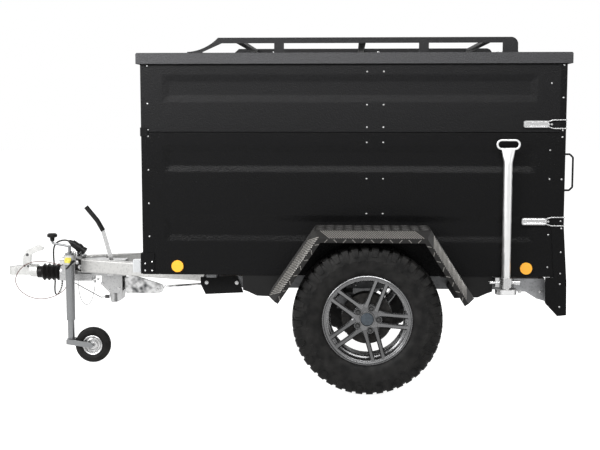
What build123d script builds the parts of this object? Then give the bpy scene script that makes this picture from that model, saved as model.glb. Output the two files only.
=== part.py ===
from build123d import *
import os
from math import cos, hypot, pi, radians, sin, tan

# Off-road box trailer, in millimetres, +Z up, +X to the rear, +Y to the trailer's right.
# Lengths along X below are counted from the axle line and heights from the ground.
# save() moves every node so that X = 0 lies at the middle of the whole length.

# ---- Box of three wall levels -------------------------------------------------------
BOX_FRONT = -1136.0
BOX_LENGTH = 2110.0
BOX_WIDTH = 1120.0
WALL = 20.0
BOX_LOW = 557.0
FLOOR_RAISE = 19.0
FLOOR_THICK = 9.0
LEVEL = 350.0
POST_LENGTH = 32.0
POST_WIDTH = 25.0
SEAM = 3.0
GROOVE_DEPTH = 10.0
GROOVE_SLOPE = 33.0
GROOVE_FLAT = 68.0
GROOVE_END = 110.0
GROOVE_BELOW_TOP = 98.0
DOOR_GAP = 5.0
REAR_SET_IN = 2.0

# ---- Lid and roof rack ---------------------------------------------------------------
LID_OVERHANG = 20.0
LID_FRONT_OVERHANG = 21.0
LID_REAR_OVERHANG = 25.0
LID_SKIRT = 11.0
LID_HEIGHT = 54.0
LID_SHEET = 3.0
LID_TOP = 20.0
LID_RIM = 45.0
SEAT_GAP = 0.3
RACK_Y = 500.0
RACK_PLATE = 5.0
RACK_HEIGHT = 78.0
RACK_BEAM = 28.0
RACK_FRONT = -906.0
RACK_SWEEP = 155.0
RACK_REAR = 740.0
RACK_LEG_FRONT = -445.0
RACK_LEG_REAR = 276.0
RACK_LEG = 49.0
RACK_FOOT = 76.0
RACK_PAD = 8.0
BAR_WIDE = 35.0
BAR_TALL = 15.0
BAR_PLACES = (-652.0, -29.0, 599.0)

# ---- Hinges --------------------------------------------------------------------------
KNUCKLE = 7.0
HINGE_PIN = 4.0
HINGE_LENGTH = 80.0
LEAF = 3.0
PIN_GAP = 0.3
ROLL = 10.0

# ---- Chassis -------------------------------------------------------------------------
RAIL_IN = 100.0
RAIL_WIDE = 40.0
RAIL_TALL = 60.0
RAIL_WALL = 4.0
RAIL_FRONT = -838.0
RAIL_REAR = 900.0
BEARER_WIDE = 50.0
BEARER_TALL = 28.0
BEARER_PLACES = (-790.0, -340.0, 0.0, 345.0)
SILL_WIDE = 40.0
SHOE_THICK = 20.0
END_PLATE = 6.0
CHOCK_WIDE = 75.0
BEAM_TALL = 74.0
BEAM_WIDE = 40.0
BEAM_WALL = 4.0
BEAM_ROUND = 8.0
BEAM_FRONT = -1620.0
BEAM_FRONT_OUT = 82.0
BEAM_MOUTH = 52.0
BEAM_TO_RAIL = 42.0

# ---- Axle and wheels -----------------------------------------------------------------
TYRE_R = 369.0
TYRE_WIDE = 226.0
TREAD_WIDE = 164.0
LUGS = 44
LUG_DEEP = 9.0
LUG_SHARE = 0.6
WHEEL_GAP = 22.0
BEAD_R = 203.0
RIM_WIDE = 178.0
FLANGE_R = 221.0
FLANGE = 9.0
BARREL = 8.0
HUB_FACE = 20.0
HUB_R = 76.0
HUB_THICK = 22.0
SPOKES = 5
SPOKE_WIDE = 28.0
SPOKE_SPREAD = 27.0
SPOKE_THICK = 20.0
SPOKE_RISE = 34.0
CAP_R = 36.5
CAP_THICK = 8.0
DRUM_R = 125.0
DRUM_DEEP = 67.0
STUB_R = 20.0
BACKPLATE_GAP = 8.0
BACKPLATE = 7.0
ARM_THICK = 28.0
AXLE_TUBE = 80.0
AXLE_TUBE_X = -110.0

# ---- Fenders -------------------------------------------------------------------------
FENDER_WIDE = 270.0
FENDER_CLEAR = 75.0
FENDER_AHEAD = 110.0
FENDER_BEHIND = 143.0
FENDER_FLAT_AHEAD = 112.0
FENDER_FLAT_BEHIND = 66.0
FENDER_FRONT_LOW = 121.0
FENDER_REAR_LOW = 116.0
FENDER_SHEET = 3.0
FENDER_CHAMFER = 38.0
FENDER_LIP = 19.0

# ---- Coupling, overrun and brake -------------------------------------------------------
COUPLING_NOSE = -2005.0
COUPLING_Z = 488.0
COUPLING_LENGTH = 163.0
COUPLING_HALF = 30.0
BALL_R = 25.0
BALL_X = -1965.0
SOCKET_DEEP = 14.0
HANDLE_SIDE = ((77, 22), (83, 83), (105, 116), (148, 138), (180, 145),
               (199, 132), (191, 116), (166, 108), (125, 89), (119, 22))
HANDLE_HALF = 14.0
BELLOWS_LENGTH = 130.0
BELLOWS_R = 48.5
BELLOWS_COLLAR = 24.0
BELLOWS_COLLAR_R = 33.0
BELLOWS_FOLDS = 4
SHAFT_R = 25.0
SHAFT_DROP = 8.0
DRAW_TUBE_R = 34.0
HOUSING_REAR = -1340.0
HOUSING_HALF = 50.0
HEAD_BLOCK = 75.0
LOWER_TUBE_LOW = 438.0
LOWER_TUBE_TOP = 476.0
LOWER_TUBE_REACH = 94.0
LOWER_TUBE_HALF = 48.0
TAIL_BLOCK_LOW = 468.0
FLANGE_LENGTH = 150.0
FLANGE_INSET = 12.0
TOP_PLATE = 10.0
TOP_PLATE_HALF = 60.0
CHEEK = 6.0
YOKE_HALF = 16.0
LEVER_THICK = 5.0

# ---- Jockey wheel ----------------------------------------------------------------------
JOCKEY_AHEAD = 4.0
JOCKEY_Y = -142.0
JOCKEY_TUBE_R = 24.0
JOCKEY_TUBE_LOW = 235.0
JOCKEY_TUBE_TOP = 598.0
JOCKEY_INNER_R = 18.5
JOCKEY_WALL = 3.0
JOCKEY_WHEEL_R = 98.0
JOCKEY_WHEEL_WIDE = 50.0
JOCKEY_TRAIL = 122.0
JOCKEY_RIM_R = 55.0
JOCKEY_FACETS = 30
JOCKEY_AXLE_R = 8.0
KINGPIN_R = 8.0
KINGPIN_HEAD = 4.0
FORK_CROWN = 26.0
TUBE_OVER_WHEEL = 66.0
CRANK_REACH = 94.0
CRANK_RISE = 16.0
CRANK_SHAFT = 46.0
CRANK_R = 6.0
CLAMP_BODY_LOW = 546.0
CLAMP_BODY_TOP = 596.0
FORK_PLATE = 5.0
FORK_GAP = 6.0

# ---- Latches and tailgate handles ------------------------------------------------------
BAIL_R = 3.0
HANDLE_REACH = 50.0
HANDLE_BAR = 5.0
HANDLE_Y = 505.0
HANDLE_LOW = 988.0
HANDLE_TALL = 180.0
HANDLE_CHAMFER = 16.0

# ---- Prop stands -----------------------------------------------------------------------
PROP_X = 690.0
PROP_R = 22.0
PROP_WALL_GAP = 10.0
PROP_FOOT_R = 53.0
PROP_FOOT_LOW = 476.0
PROP_FOOT_THICK = 26.0
PROP_NECK_LOW = 1128.0
PROP_NECK_TOP = 1194.0
PROP_RING_WIDE = 118.0
PROP_RING_TALL = 53.0
PROP_RING_BAR = 5.0
CLAMP_LOW = 510.0
CLAMP_TALL = 46.0

# ---- Values worked out from those above ------------------------------------------------
BOX_REAR = BOX_FRONT + BOX_LENGTH
HALF = BOX_WIDTH / 2
INNER_HALF = HALF - WALL
FLOOR_TOP = BOX_LOW + FLOOR_RAISE
DECK_LOW = FLOOR_TOP - FLOOR_THICK
UPPER_LOW = FLOOR_TOP + 2 * LEVEL
BOX_TOP = UPPER_LOW + LEVEL
POST_FRONT = BOX_REAR - POST_LENGTH
POST_IN = HALF - POST_WIDTH
DOOR_HALF = POST_IN - DOOR_GAP
DOOR_REAR = BOX_REAR - REAR_SET_IN
DOOR_FRONT = DOOR_REAR - WALL
LID_LOW = BOX_TOP - LID_SKIRT
LID_HIGH = LID_LOW + LID_HEIGHT
LID_FRONT = BOX_FRONT - LID_FRONT_OVERHANG
LID_REAR = BOX_REAR + LID_REAR_OVERHANG
LID_HALF = HALF + LID_OVERHANG
LID_AXIS = (LID_FRONT - 9.0, LID_LOW - 6.0)
GATE_AXIS = (DOOR_REAR + 12.0, BOX_LOW - 4.0)
FLAP_AXIS = (DOOR_FRONT + WALL / 2 - 1.0, LID_LOW - ROLL - 11.0)
RAIL_TOP = DECK_LOW - BEARER_TALL
RAIL_LOW = RAIL_TOP - RAIL_TALL
RAIL_Y = HALF - RAIL_IN
RAIL_OUT = RAIL_Y + RAIL_WIDE / 2
BEAM_LOW = DECK_LOW - BEAM_TALL
BEAM_REAR = BEARER_PLACES[0] - BEARER_WIDE / 2
BEAM_REAR_OUT = RAIL_OUT - RAIL_WIDE - BEAM_TO_RAIL
BEAM_SLOPE = (BEAM_REAR_OUT - BEAM_FRONT_OUT) / (BEAM_REAR - BEAM_FRONT)
WHEEL_Y = HALF + WHEEL_GAP + TYRE_WIDE / 2
WHEEL_Z = TYRE_R
FENDER_OUT = HALF + FENDER_WIDE
FENDER_TOP = 2 * TYRE_R + FENDER_CLEAR
FENDER_ARCH = (
    (-TYRE_R - FENDER_AHEAD, TYRE_R + FENDER_FRONT_LOW),
    (FENDER_FLAT_AHEAD - TYRE_R, FENDER_TOP),
    (TYRE_R - FENDER_FLAT_BEHIND, FENDER_TOP),
    (TYRE_R + FENDER_BEHIND, TYRE_R + FENDER_REAR_LOW),
)
COUPLING_REAR = COUPLING_NOSE + COUPLING_LENGTH
COUPLING_LOW = COUPLING_Z - 22
SHAFT_Z = COUPLING_Z - SHAFT_DROP
HOUSING_TOP = DECK_LOW + TOP_PLATE
JOCKEY_X = BEAM_FRONT - JOCKEY_AHEAD
FORK_TOP = 2 * JOCKEY_WHEEL_R - TUBE_OVER_WHEEL
LEVER_Y = -HOUSING_HALF - CHEEK - LEVER_THICK
BELLOWS_REAR = COUPLING_REAR + BELLOWS_LENGTH
GATE_REAR = DOOR_REAR + HANDLE_REACH + HANDLE_BAR
PROP_Y = HALF + PROP_WALL_GAP + PROP_R
ORIGIN_SHIFT = -(COUPLING_NOSE + GATE_REAR) / 2


# ---- Helpers ---------------------------------------------------------------------------
def block(x, y, z):
    """A box between the low and high value on each axis."""
    middle = [(low + high) / 2 for low, high in (x, y, z)]
    size = [high - low for low, high in (x, y, z)]
    return Pos(*middle) * Box(*size)


def plate(outline, y):
    """A flat plate with the given (x, z) outline between two y values."""
    face = make_face(Polyline(*[(x, y[0], z) for x, z in outline], close=True))
    return extrude(face, amount=y[1] - y[0], dir=(0, 1, 0))


def slab(outline, z):
    """A flat slab with the given (x, y) outline between two heights."""
    face = make_face(Polyline(*[(x, y, z[0]) for x, y in outline], close=True))
    return extrude(face, amount=z[1] - z[0], dir=(0, 0, 1))


def rod(start, end, radius):
    """A round bar from one point to another."""
    run = Vector(*end) - Vector(*start)
    return extrude(Plane(origin=start, z_dir=run) * Circle(radius), amount=run.length)


def tube(start, end, outer, inner):
    """A round tube from one point to another."""
    return rod(start, end, outer) - rod(start, end, inner)


def bent_bar(points, radius, bend):
    """A round bar along a bent line."""
    path = FilletPolyline(*points, radius=bend)
    return sweep(Plane(origin=path @ 0, z_dir=path % 0) * Circle(radius), path=path)


def turned(outline, centre, direction):
    """A body of revolution from (radius, distance) points along a direction."""
    face = make_face(Polyline(*[(r, 0, a) for r, a in outline], close=True))
    return Plane(origin=centre, z_dir=direction).location * revolve(face, Axis.Z)


def faceted(outline, sides):
    """A ring about +Z with flat facets, its corners on the closed (radius, distance) points."""
    step = 2 * pi / sides
    faces = []
    for side in range(sides):
        low, high = (side - 0.5) * step, (side + 0.5) * step
        for start, end in zip(outline, outline[1:] + outline[:1]):
            turns = ((start, low), (end, low), (end, high), (start, high))
            corners = [(r * cos(turn), r * sin(turn), a) for (r, a), turn in turns]
            faces.append(make_face(Polyline(*corners, close=True)))
    return Solid(Shell(faces))


def mirrored(shape):
    """The same piece on the other side of the centre plane."""
    return mirror(shape, about=Plane.XZ)


def paired(shape):
    """The piece and its mirror image as two solids."""
    return shape + mirrored(shape)


def save(name, shape):
    """Write one node at its place from the part's own origin."""
    export_step(Pos(ORIGIN_SHIFT, 0, 0) * shape, f"parts/{name}.step")


# ---- Box -------------------------------------------------------------------------------
def groove(length, height_top):
    """The pressed groove of one wall level, as a cutter that points along +Y from y = 0."""
    tall = GROOVE_FLAT + 2 * GROOVE_SLOPE
    middle = height_top - GROOVE_BELOW_TOP - GROOVE_FLAT / 2
    mouth = Plane(origin=(0, 0, middle), x_dir=(1, 0, 0), z_dir=(0, 1, 0))
    bottom = mouth.offset(GROOVE_DEPTH)
    wide = mouth * Rectangle(length, tall)
    narrow = bottom * Rectangle(length - 2 * GROOVE_SLOPE, GROOVE_FLAT)
    return loft([wide, narrow], ruled=True)


def side_wall(foot, low, levels):
    """One side wall on the left, with a pressed groove in each of its levels."""
    panel = block((BOX_FRONT, POST_FRONT), (-HALF, -INNER_HALF), (foot, low + levels * LEVEL))
    length = POST_FRONT - BOX_FRONT - 2 * GROOVE_END
    middle = (BOX_FRONT + POST_FRONT) / 2
    for level in range(levels):
        panel -= Pos(middle, -HALF, 0) * groove(length, low + (level + 1) * LEVEL)
    return panel


def seam_cut(low):
    """The narrow gap that shows between two wall levels, all round the box."""
    outer = block((BOX_FRONT - 1, BOX_REAR + 1), (-HALF - 1, HALF + 1), (low, low + SEAM))
    inner = block((BOX_FRONT + SEAM, BOX_REAR), (-HALF + SEAM, HALF - SEAM), (low, low + SEAM))
    return outer - inner


def front_wall(foot, low, levels):
    """The front wall between the side walls, with the same grooves."""
    high = low + levels * LEVEL
    panel = block((BOX_FRONT, BOX_FRONT + WALL), (-INNER_HALF, INNER_HALF), (foot, high))
    length = 2 * INNER_HALF - 2 * GROOVE_END
    for level in range(levels):
        cutter = Rot(0, 0, -90) * groove(length, low + (level + 1) * LEVEL)
        panel -= Pos(BOX_FRONT, 0, 0) * cutter
    return panel


def rear_door(low, high, levels, top):
    """A rear panel between the posts, with a groove in each level below the height top."""
    panel = block((DOOR_FRONT, DOOR_REAR), (-DOOR_HALF, DOOR_HALF), (low, high))
    length = 2 * DOOR_HALF - 2 * GROOVE_END
    for level in range(levels):
        cutter = Rot(0, 0, 90) * groove(length, top - level * LEVEL)
        panel -= Pos(DOOR_REAR, 0, 0) * cutter
    return panel


def knuckles(axis, y):
    """The fixed knuckles and pin, and the moving knuckle, of one hinge along Y."""
    x, z = axis
    end = HINGE_LENGTH / 2
    middle = HINGE_LENGTH / 4
    fixed = rod((x, y - end, z), (x, y + end, z), HINGE_PIN)
    for low, high in ((-end, -middle), (middle, end)):
        fixed += rod((x, y + low, z), (x, y + high, z), KNUCKLE)
    reach = middle - 1
    moving = tube((x, y - reach, z), (x, y + reach, z), KNUCKLE, HINGE_PIN + PIN_GAP)
    return fixed, moving


def hinge_arms(axis, y, x, z):
    """The arms that carry both fixed knuckles of a hinge, over the given x and z spans."""
    end = HINGE_LENGTH / 2
    middle = HINGE_LENGTH / 4
    arms = block(x, (y - end, y - middle), z) + block(x, (y + middle, y + end), z)
    return arms - rod((axis[0], y - end, axis[1]), (axis[0], y + end, axis[1]), HINGE_PIN)


def lid_hinges():
    """Fixed and moving halves of the lid's two hinges on the front wall."""
    x, z = LID_AXIS
    fixed, moving = Part(), Part()
    for y in (-INNER_HALF / 2, INNER_HALF / 2):
        held, turning = knuckles(LID_AXIS, y)
        held += hinge_arms(LID_AXIS, y, (x, BOX_FRONT), (z - KNUCKLE - 2, z - 2))
        held += block(
            (BOX_FRONT - LEAF, BOX_FRONT),
            (y - HINGE_LENGTH / 2, y + HINGE_LENGTH / 2),
            (z - 50, z - 2),
        )
        reach = HINGE_LENGTH / 4 - 1
        bore = rod((x, y - reach, z), (x, y + reach, z), HINGE_PIN + PIN_GAP)
        web = block((x - 2, LID_FRONT), (y - reach, y + reach), (z, z + KNUCKLE))
        leaf = block((LID_FRONT - LEAF, LID_FRONT), (y - reach, y + reach), (z, LID_LOW + 30))
        turning += web + leaf - bore
        fixed += held
        moving += turning
    return fixed, moving


def gate_hinges():
    """Fixed and moving halves of the tailgate's hinges on the rear sill."""
    x, z = GATE_AXIS
    fixed, moving = Part(), Part()
    for y in (-INNER_HALF * 0.6, 0, INNER_HALF * 0.6):
        held, turning = knuckles(GATE_AXIS, y)
        held += hinge_arms(GATE_AXIS, y, (BOX_REAR, x), (z - KNUCKLE, z))
        reach = HINGE_LENGTH / 4 - 1
        bore = rod((x, y - reach, z), (x, y + reach, z), HINGE_PIN + PIN_GAP)
        web = block((DOOR_REAR, x), (y - reach, y + reach), (z + HINGE_PIN, z + 9 + LEAF))
        leaf = block((DOOR_REAR, DOOR_REAR + LEAF), (y - reach, y + reach), (z + 9, z + 50))
        turning += web + leaf - bore
        fixed += held
        moving += turning
    return fixed, moving


def tailgate(leaves):
    """The two-level tailgate, hinged along its lower edge."""
    low = BOX_LOW + DOOR_GAP
    panel = rear_door(low, UPPER_LOW - DOOR_GAP, 2, UPPER_LOW)
    return panel + leaves


def rear_flap():
    """The upper rear flap, whose rolled top edge turns on two pins in the posts."""
    x, z = FLAP_AXIS
    panel = rear_door(UPPER_LOW, z, 1, BOX_TOP)
    roll = rod((x, -DOOR_HALF, z), (x, DOOR_HALF, z), ROLL)
    bore = rod((x, -DOOR_HALF, z), (x, DOOR_HALF, z), HINGE_PIN + PIN_GAP)
    return panel + roll - bore


def rear_posts():
    """Both rear corner posts with the flap's pins, joined by the header under the lid."""
    x, z = FLAP_AXIS
    post = block((POST_FRONT, BOX_REAR), (-HALF, -POST_IN), (BOX_LOW, BOX_TOP))
    pin = rod((x, -POST_IN - 1, z), (x, -DOOR_HALF + 30, z), HINGE_PIN)
    header_low = z + ROLL + DOOR_GAP
    header = block((POST_FRONT, BOX_REAR), (-POST_IN, POST_IN), (header_low, BOX_TOP))
    return paired(post + pin) + header


def floor_panel():
    """The floor between the walls, from the front wall to just ahead of the tailgate."""
    z = (DECK_LOW, FLOOR_TOP)
    main = block((BOX_FRONT + WALL, POST_FRONT), (-INNER_HALF, INNER_HALF), z)
    return main + block((POST_FRONT, DOOR_FRONT - DOOR_GAP), (-POST_IN, POST_IN), z)


# ---- Lid and rack ----------------------------------------------------------------------
def lid(leaves):
    """The lid with its skirt outside the walls, its inner frame and its hinge leaves."""
    shell = block((LID_FRONT, LID_REAR), (-LID_HALF, LID_HALF), (LID_LOW, LID_HIGH))
    shell = fillet(shell.edges().filter_by(Axis.Z), radius=12)
    shell = chamfer(shell.faces().sort_by(Axis.Z)[-1].edges(), length=5)
    skirt = LID_SHEET
    mouth = block(
        (LID_FRONT + skirt, LID_REAR - skirt),
        (-LID_HALF + skirt, LID_HALF - skirt),
        (LID_LOW, BOX_TOP + SEAT_GAP),
    )
    mouth = fillet(mouth.edges().filter_by(Axis.Z), radius=12 - skirt)
    pocket = block(
        (BOX_FRONT + LID_RIM, BOX_REAR - LID_RIM),
        (-HALF + LID_RIM, HALF - LID_RIM),
        (BOX_TOP, LID_HIGH - LID_TOP),
    )
    return shell - mouth - pocket + leaves


def rack_rail():
    """The left rack rail: a plate with a swept front, two legs and a rounded tail."""
    top = LID_HIGH + RACK_HEIGHT
    base = LID_HIGH + RACK_PAD
    under = top - RACK_BEAM
    y = (-RACK_Y - RACK_PLATE / 2, -RACK_Y + RACK_PLATE / 2)
    tail = 35.0
    front = Vector(RACK_FRONT, y[0], base)
    crest = Vector(RACK_FRONT + RACK_SWEEP, y[0], top)
    bulge = front + (crest - front) * 0.5 + Vector(12, 0, -12)
    bend = Vector(RACK_REAR - tail, y[0], top)
    drop = Vector(RACK_REAR, y[0], top - tail)
    bend_middle = Vector(RACK_REAR - tail * 0.293, y[0], top - tail * 0.293)
    edge = ThreePointArc(front, bulge, crest) + Line(crest, bend)
    edge += ThreePointArc(bend, bend_middle, drop)
    edge += Polyline(drop, (RACK_REAR, y[0], base), front)
    rail = extrude(make_face(edge), amount=RACK_PLATE, dir=(0, 1, 0))
    openings = (
        (RACK_FRONT + RACK_FOOT, RACK_LEG_FRONT - RACK_LEG / 2),
        (RACK_LEG_FRONT + RACK_LEG / 2, RACK_LEG_REAR - RACK_LEG / 2),
        (RACK_LEG_REAR + RACK_LEG / 2, RACK_REAR - RACK_FOOT),
    )
    for low, high in openings:
        lean = RACK_SWEEP - RACK_FOOT + 18 if low < RACK_LEG_FRONT - RACK_LEG else 0
        shape = ((low, base - 1), (low + lean, under), (high, under), (high, base - 1))
        rail -= plate(shape, y)
    feet = (
        (RACK_FRONT, RACK_FRONT + RACK_FOOT),
        (openings[0][1], openings[1][0]),
        (openings[1][1], openings[2][0]),
        (openings[2][1], RACK_REAR),
    )
    for low, high in feet:
        rail += block((low, high), (-RACK_Y - 12, -RACK_Y + 12), (LID_HIGH, base))
    return rail


def rack_bars():
    """The three flat cross bars between the rack rails."""
    high = LID_HIGH + RACK_HEIGHT - 7
    reach = RACK_Y - RACK_PLATE / 2
    half = BAR_WIDE / 2
    bars = [block((x - half, x + half), (-reach, reach), (high - BAR_TALL, high)) for x in BAR_PLACES]
    return Part() + bars


# ---- Chassis ---------------------------------------------------------------------------
def frame_rail():
    """The left chassis rail, a rectangular tube."""
    y = (-RAIL_OUT, -RAIL_OUT + RAIL_WIDE)
    rail = block((RAIL_FRONT, RAIL_REAR), y, (RAIL_LOW, RAIL_TOP))
    hollow = block(
        (RAIL_FRONT, RAIL_REAR),
        (y[0] + RAIL_WALL, y[1] - RAIL_WALL),
        (RAIL_LOW + RAIL_WALL, RAIL_TOP - RAIL_WALL),
    )
    return rail - hollow


def cross_members():
    """Flat bearers on the rails, the rear sill, and two ties between the rails."""
    sill = (BOX_REAR - SILL_WIDE, BOX_REAR)
    bars = block(sill, (-POST_IN, POST_IN), (RAIL_TOP, BOX_LOW))
    bars += block((sill[0], DOOR_FRONT - DOOR_GAP), (-POST_IN, POST_IN), (BOX_LOW, DECK_LOW))
    for x in BEARER_PLACES:
        span = (x - BEARER_WIDE / 2, x + BEARER_WIDE / 2)
        bars += block(span, (-INNER_HALF, INNER_HALF), (RAIL_TOP, DECK_LOW))
        inner = RAIL_OUT - RAIL_WIDE
        bars += block(span, (-inner, inner), (RAIL_TOP - 40, RAIL_TOP))
    return bars


def beam_out(x):
    """How far from the centre plane a drawbar beam's outer face lies at x."""
    return BEAM_FRONT_OUT + (x - BEAM_FRONT) * BEAM_SLOPE


def beam_in(x):
    """How far from the centre plane a drawbar beam's inner face lies at x."""
    return beam_out(x) - BEAM_WIDE * hypot(1, BEAM_SLOPE)


def drawbar_beam():
    """The left beam of the V drawbar, a rounded tube whose front is cut open to the side."""
    start_x = BEAM_FRONT - BEAM_MOUTH
    run = Vector(1, -BEAM_SLOPE, 0)
    middle = Vector(start_x, -(beam_out(start_x) + beam_in(start_x)) / 2, DECK_LOW - BEAM_TALL / 2)
    end = Plane(origin=middle, x_dir=(0, 0, 1), z_dir=run)
    skin = RectangleRounded(BEAM_TALL, BEAM_WIDE, BEAM_ROUND)
    hollow = RectangleRounded(
        BEAM_TALL - 2 * BEAM_WALL, BEAM_WIDE - 2 * BEAM_WALL, BEAM_ROUND - BEAM_WALL
    )
    length = (BEAM_REAR - start_x) * run.length + BEAM_WIDE
    beam = extrude(end * (skin - hollow), amount=length)
    mouth_x = BEAM_FRONT + BEAM_MOUTH
    ahead = (
        (start_x - BEAM_WIDE, 0),
        (BEAM_FRONT, -beam_in(BEAM_FRONT)),
        (mouth_x, -beam_out(mouth_x)),
        (mouth_x, -HALF),
        (start_x - BEAM_WIDE, -HALF),
    )
    tail = block((BEAM_REAR, BEAM_REAR + 2 * BEAM_WIDE), (-HALF, 0), (BEAM_LOW, DECK_LOW))
    return beam - slab(ahead, (BEAM_LOW, DECK_LOW)) - tail


def rail_shoe():
    """The black joint block outside the left rail's front end."""
    corners = ((-13, -6), (-13, -40), (12, -93), (205, -83), (174, 0))
    outline = [(RAIL_FRONT + x, RAIL_TOP + z) for x, z in corners]
    return plate(outline, (-RAIL_OUT - SHOE_THICK, -RAIL_OUT))


def rail_end_plate():
    """The galvanised end plate outside the left rail's tail."""
    corners = ((-155, -2), (0, -2), (11, -119), (-39, -104), (-96, -69), (-155, -67))
    outline = [(RAIL_REAR + x, RAIL_TOP + z) for x, z in corners]
    return plate(outline, (-RAIL_OUT - END_PLATE, -RAIL_OUT))


def wheel_chock(side):
    """One wheel chock hung beside the rail, ahead of (-1) or behind (1) the left wheel."""
    outline = ((628, 556), (628, 480), (600, 470), (557, 450), (440, 445), (404, 500), (430, 556))
    return plate([(side * x, z) for x, z in outline], (-RAIL_OUT - CHOCK_WIDE, -RAIL_OUT))


def axle_beam():
    """The square tube of the rubber-sprung axle, under the rails."""
    x = (AXLE_TUBE_X - AXLE_TUBE / 2, AXLE_TUBE_X + AXLE_TUBE / 2)
    beam = block(x, (-arm_end(), arm_end()), (RAIL_LOW - AXLE_TUBE, RAIL_LOW))
    wall = 6
    hollow = block(
        (x[0] + wall, x[1] - wall),
        (-arm_end(), arm_end()),
        (RAIL_LOW - AXLE_TUBE + wall, RAIL_LOW - wall),
    )
    return beam - hollow


def arm_face():
    """How far from the centre plane the left arm's outer face lies."""
    return WHEEL_Y + HUB_FACE - DRUM_DEEP - BACKPLATE_GAP - BACKPLATE


def arm_end():
    """How far from the centre plane the arm's inner face and the axle tube's end lie."""
    return arm_face() - ARM_THICK


def suspension_arm():
    """The left trailing arm with the brake's back plate and the wheel's stub axle."""
    y = (-arm_face(), -arm_end())
    tube_z = RAIL_LOW - AXLE_TUBE / 2
    wide = 38
    outline = (
        (AXLE_TUBE_X, tube_z - wide),
        (0, WHEEL_Z - wide),
        (0, WHEEL_Z + wide),
        (AXLE_TUBE_X, tube_z + wide),
    )
    arm = plate(outline, y)
    for x, z in ((AXLE_TUBE_X, tube_z), (0, WHEEL_Z)):
        arm += rod((x, y[0], z), (x, y[1], z), wide + 2)
    back = rod((0, y[0] - BACKPLATE, WHEEL_Z), (0, y[0], WHEEL_Z), DRUM_R)
    tip = WHEEL_Y + HUB_FACE - 8
    stub = rod((0, -tip, WHEEL_Z), (0, y[0], WHEEL_Z), STUB_R)
    return arm + back + stub


# ---- Wheels ----------------------------------------------------------------------------
def wheel_seat():
    """Where the left wheel sits, its own axis pointing out to the left."""
    return Plane(origin=(0, -WHEEL_Y, WHEEL_Z), x_dir=(1, 0, 0), z_dir=(0, -1, 0)).location


def tread_lug():
    """One lug over the tread from shoulder to shoulder, about the wheel's own axis."""
    tread = TREAD_WIDE / 2
    shoulder = TYRE_WIDE / 2 - 4
    root = TYRE_R - LUG_DEEP - 4
    wide = LUG_SHARE * 2 * pi * TYRE_R / LUGS
    side = [(root, tread - 6), (TYRE_R - 36, shoulder), (TYRE_R, tread + 5)]
    return plate(side + [(r, -a) for r, a in reversed(side)], (-wide / 2, wide / 2))


def tyre():
    """The left tyre, hollow and flat between its lugs, out to the lugs' tips."""
    half = TYRE_WIDE / 2
    tread = TREAD_WIDE / 2
    bead = RIM_WIDE / 2 - FLANGE
    skin = 14
    bore = (BEAD_R + PIN_GAP) / cos(pi / LUGS)
    side = (
        (bore, bead - PIN_GAP),
        (FLANGE_R + 1, bead - PIN_GAP),
        ((FLANGE_R + TYRE_R) / 2, half),
        (TYRE_R - 36, half - 4),
        (TYRE_R - LUG_DEEP, tread - 2),
    )
    inside = (
        (TYRE_R - skin - 6, tread - 4),
        (bore, bead - skin),
    )
    other = [(r, -a) for r, a in reversed(side)]
    other_inside = [(r, -a) for r, a in reversed(inside)]
    outline = list(side) + other + other_inside + list(inside)
    carcass = faceted(outline, LUGS)
    lugs = [Rot(0, 0, lug * 360 / LUGS) * tread_lug() for lug in range(LUGS)]
    return wheel_seat() * (carcass + lugs)


def spoke(angle, offset):
    """One spoke of the rim about the wheel's own axis, from hub to barrel."""
    inner = HUB_R - 12
    outer = BEAD_R - BARREL + 2
    near = HUB_FACE + 2
    outline = (
        (inner, near),
        (outer, near + SPOKE_RISE),
        (outer, near + SPOKE_RISE + SPOKE_THICK),
        (inner, near + SPOKE_THICK),
    )
    wide = (offset - SPOKE_WIDE / 2, offset + SPOKE_WIDE / 2)
    return Rot(0, 0, angle) * plate(outline, wide)


def rim():
    """The left rim with five pairs of spokes, its hub and centre cap."""
    half = RIM_WIDE / 2
    seat = half - FLANGE
    inner = BEAD_R - BARREL
    outline = (
        (FLANGE_R, -half),
        (FLANGE_R, -seat),
        (BEAD_R, -seat),
        (BEAD_R, seat),
        (FLANGE_R, seat),
        (FLANGE_R, half),
        (FLANGE_R - BARREL, half),
        (inner, seat - 10),
        (inner, -seat + 10),
        (FLANGE_R - BARREL, -half),
    )
    body = turned(outline, (0, 0, 0), (0, 0, 1))
    hub = Pos(0, 0, HUB_FACE) * Cylinder(
        HUB_R, HUB_THICK, align=(Align.CENTER, Align.CENTER, Align.MIN)
    )
    cap = Pos(0, 0, HUB_FACE + HUB_THICK) * Cylinder(
        CAP_R, CAP_THICK, align=(Align.CENTER, Align.CENTER, Align.MIN)
    )
    for pair in range(SPOKES):
        for offset in (-SPOKE_SPREAD, SPOKE_SPREAD):
            body += spoke(pair * 360 / SPOKES, offset)
    body += hub + cap
    return wheel_seat() * body


def drum():
    """The left brake drum with its hub, which turns on the stub axle."""
    hub_r = 45
    skin = 10
    deep = HUB_FACE - DRUM_DEEP
    outline = (
        (STUB_R + PIN_GAP, HUB_FACE - 6),
        (0, HUB_FACE - 6),
        (0, HUB_FACE),
        (DRUM_R, HUB_FACE),
        (DRUM_R, deep),
        (DRUM_R - skin, deep),
        (DRUM_R - skin, HUB_FACE - skin),
        (hub_r, HUB_FACE - skin),
        (hub_r, deep + 6),
        (STUB_R + PIN_GAP, deep + 6),
    )
    return turned(outline, (0, -WHEEL_Y, WHEEL_Z), (0, -1, 0))


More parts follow.
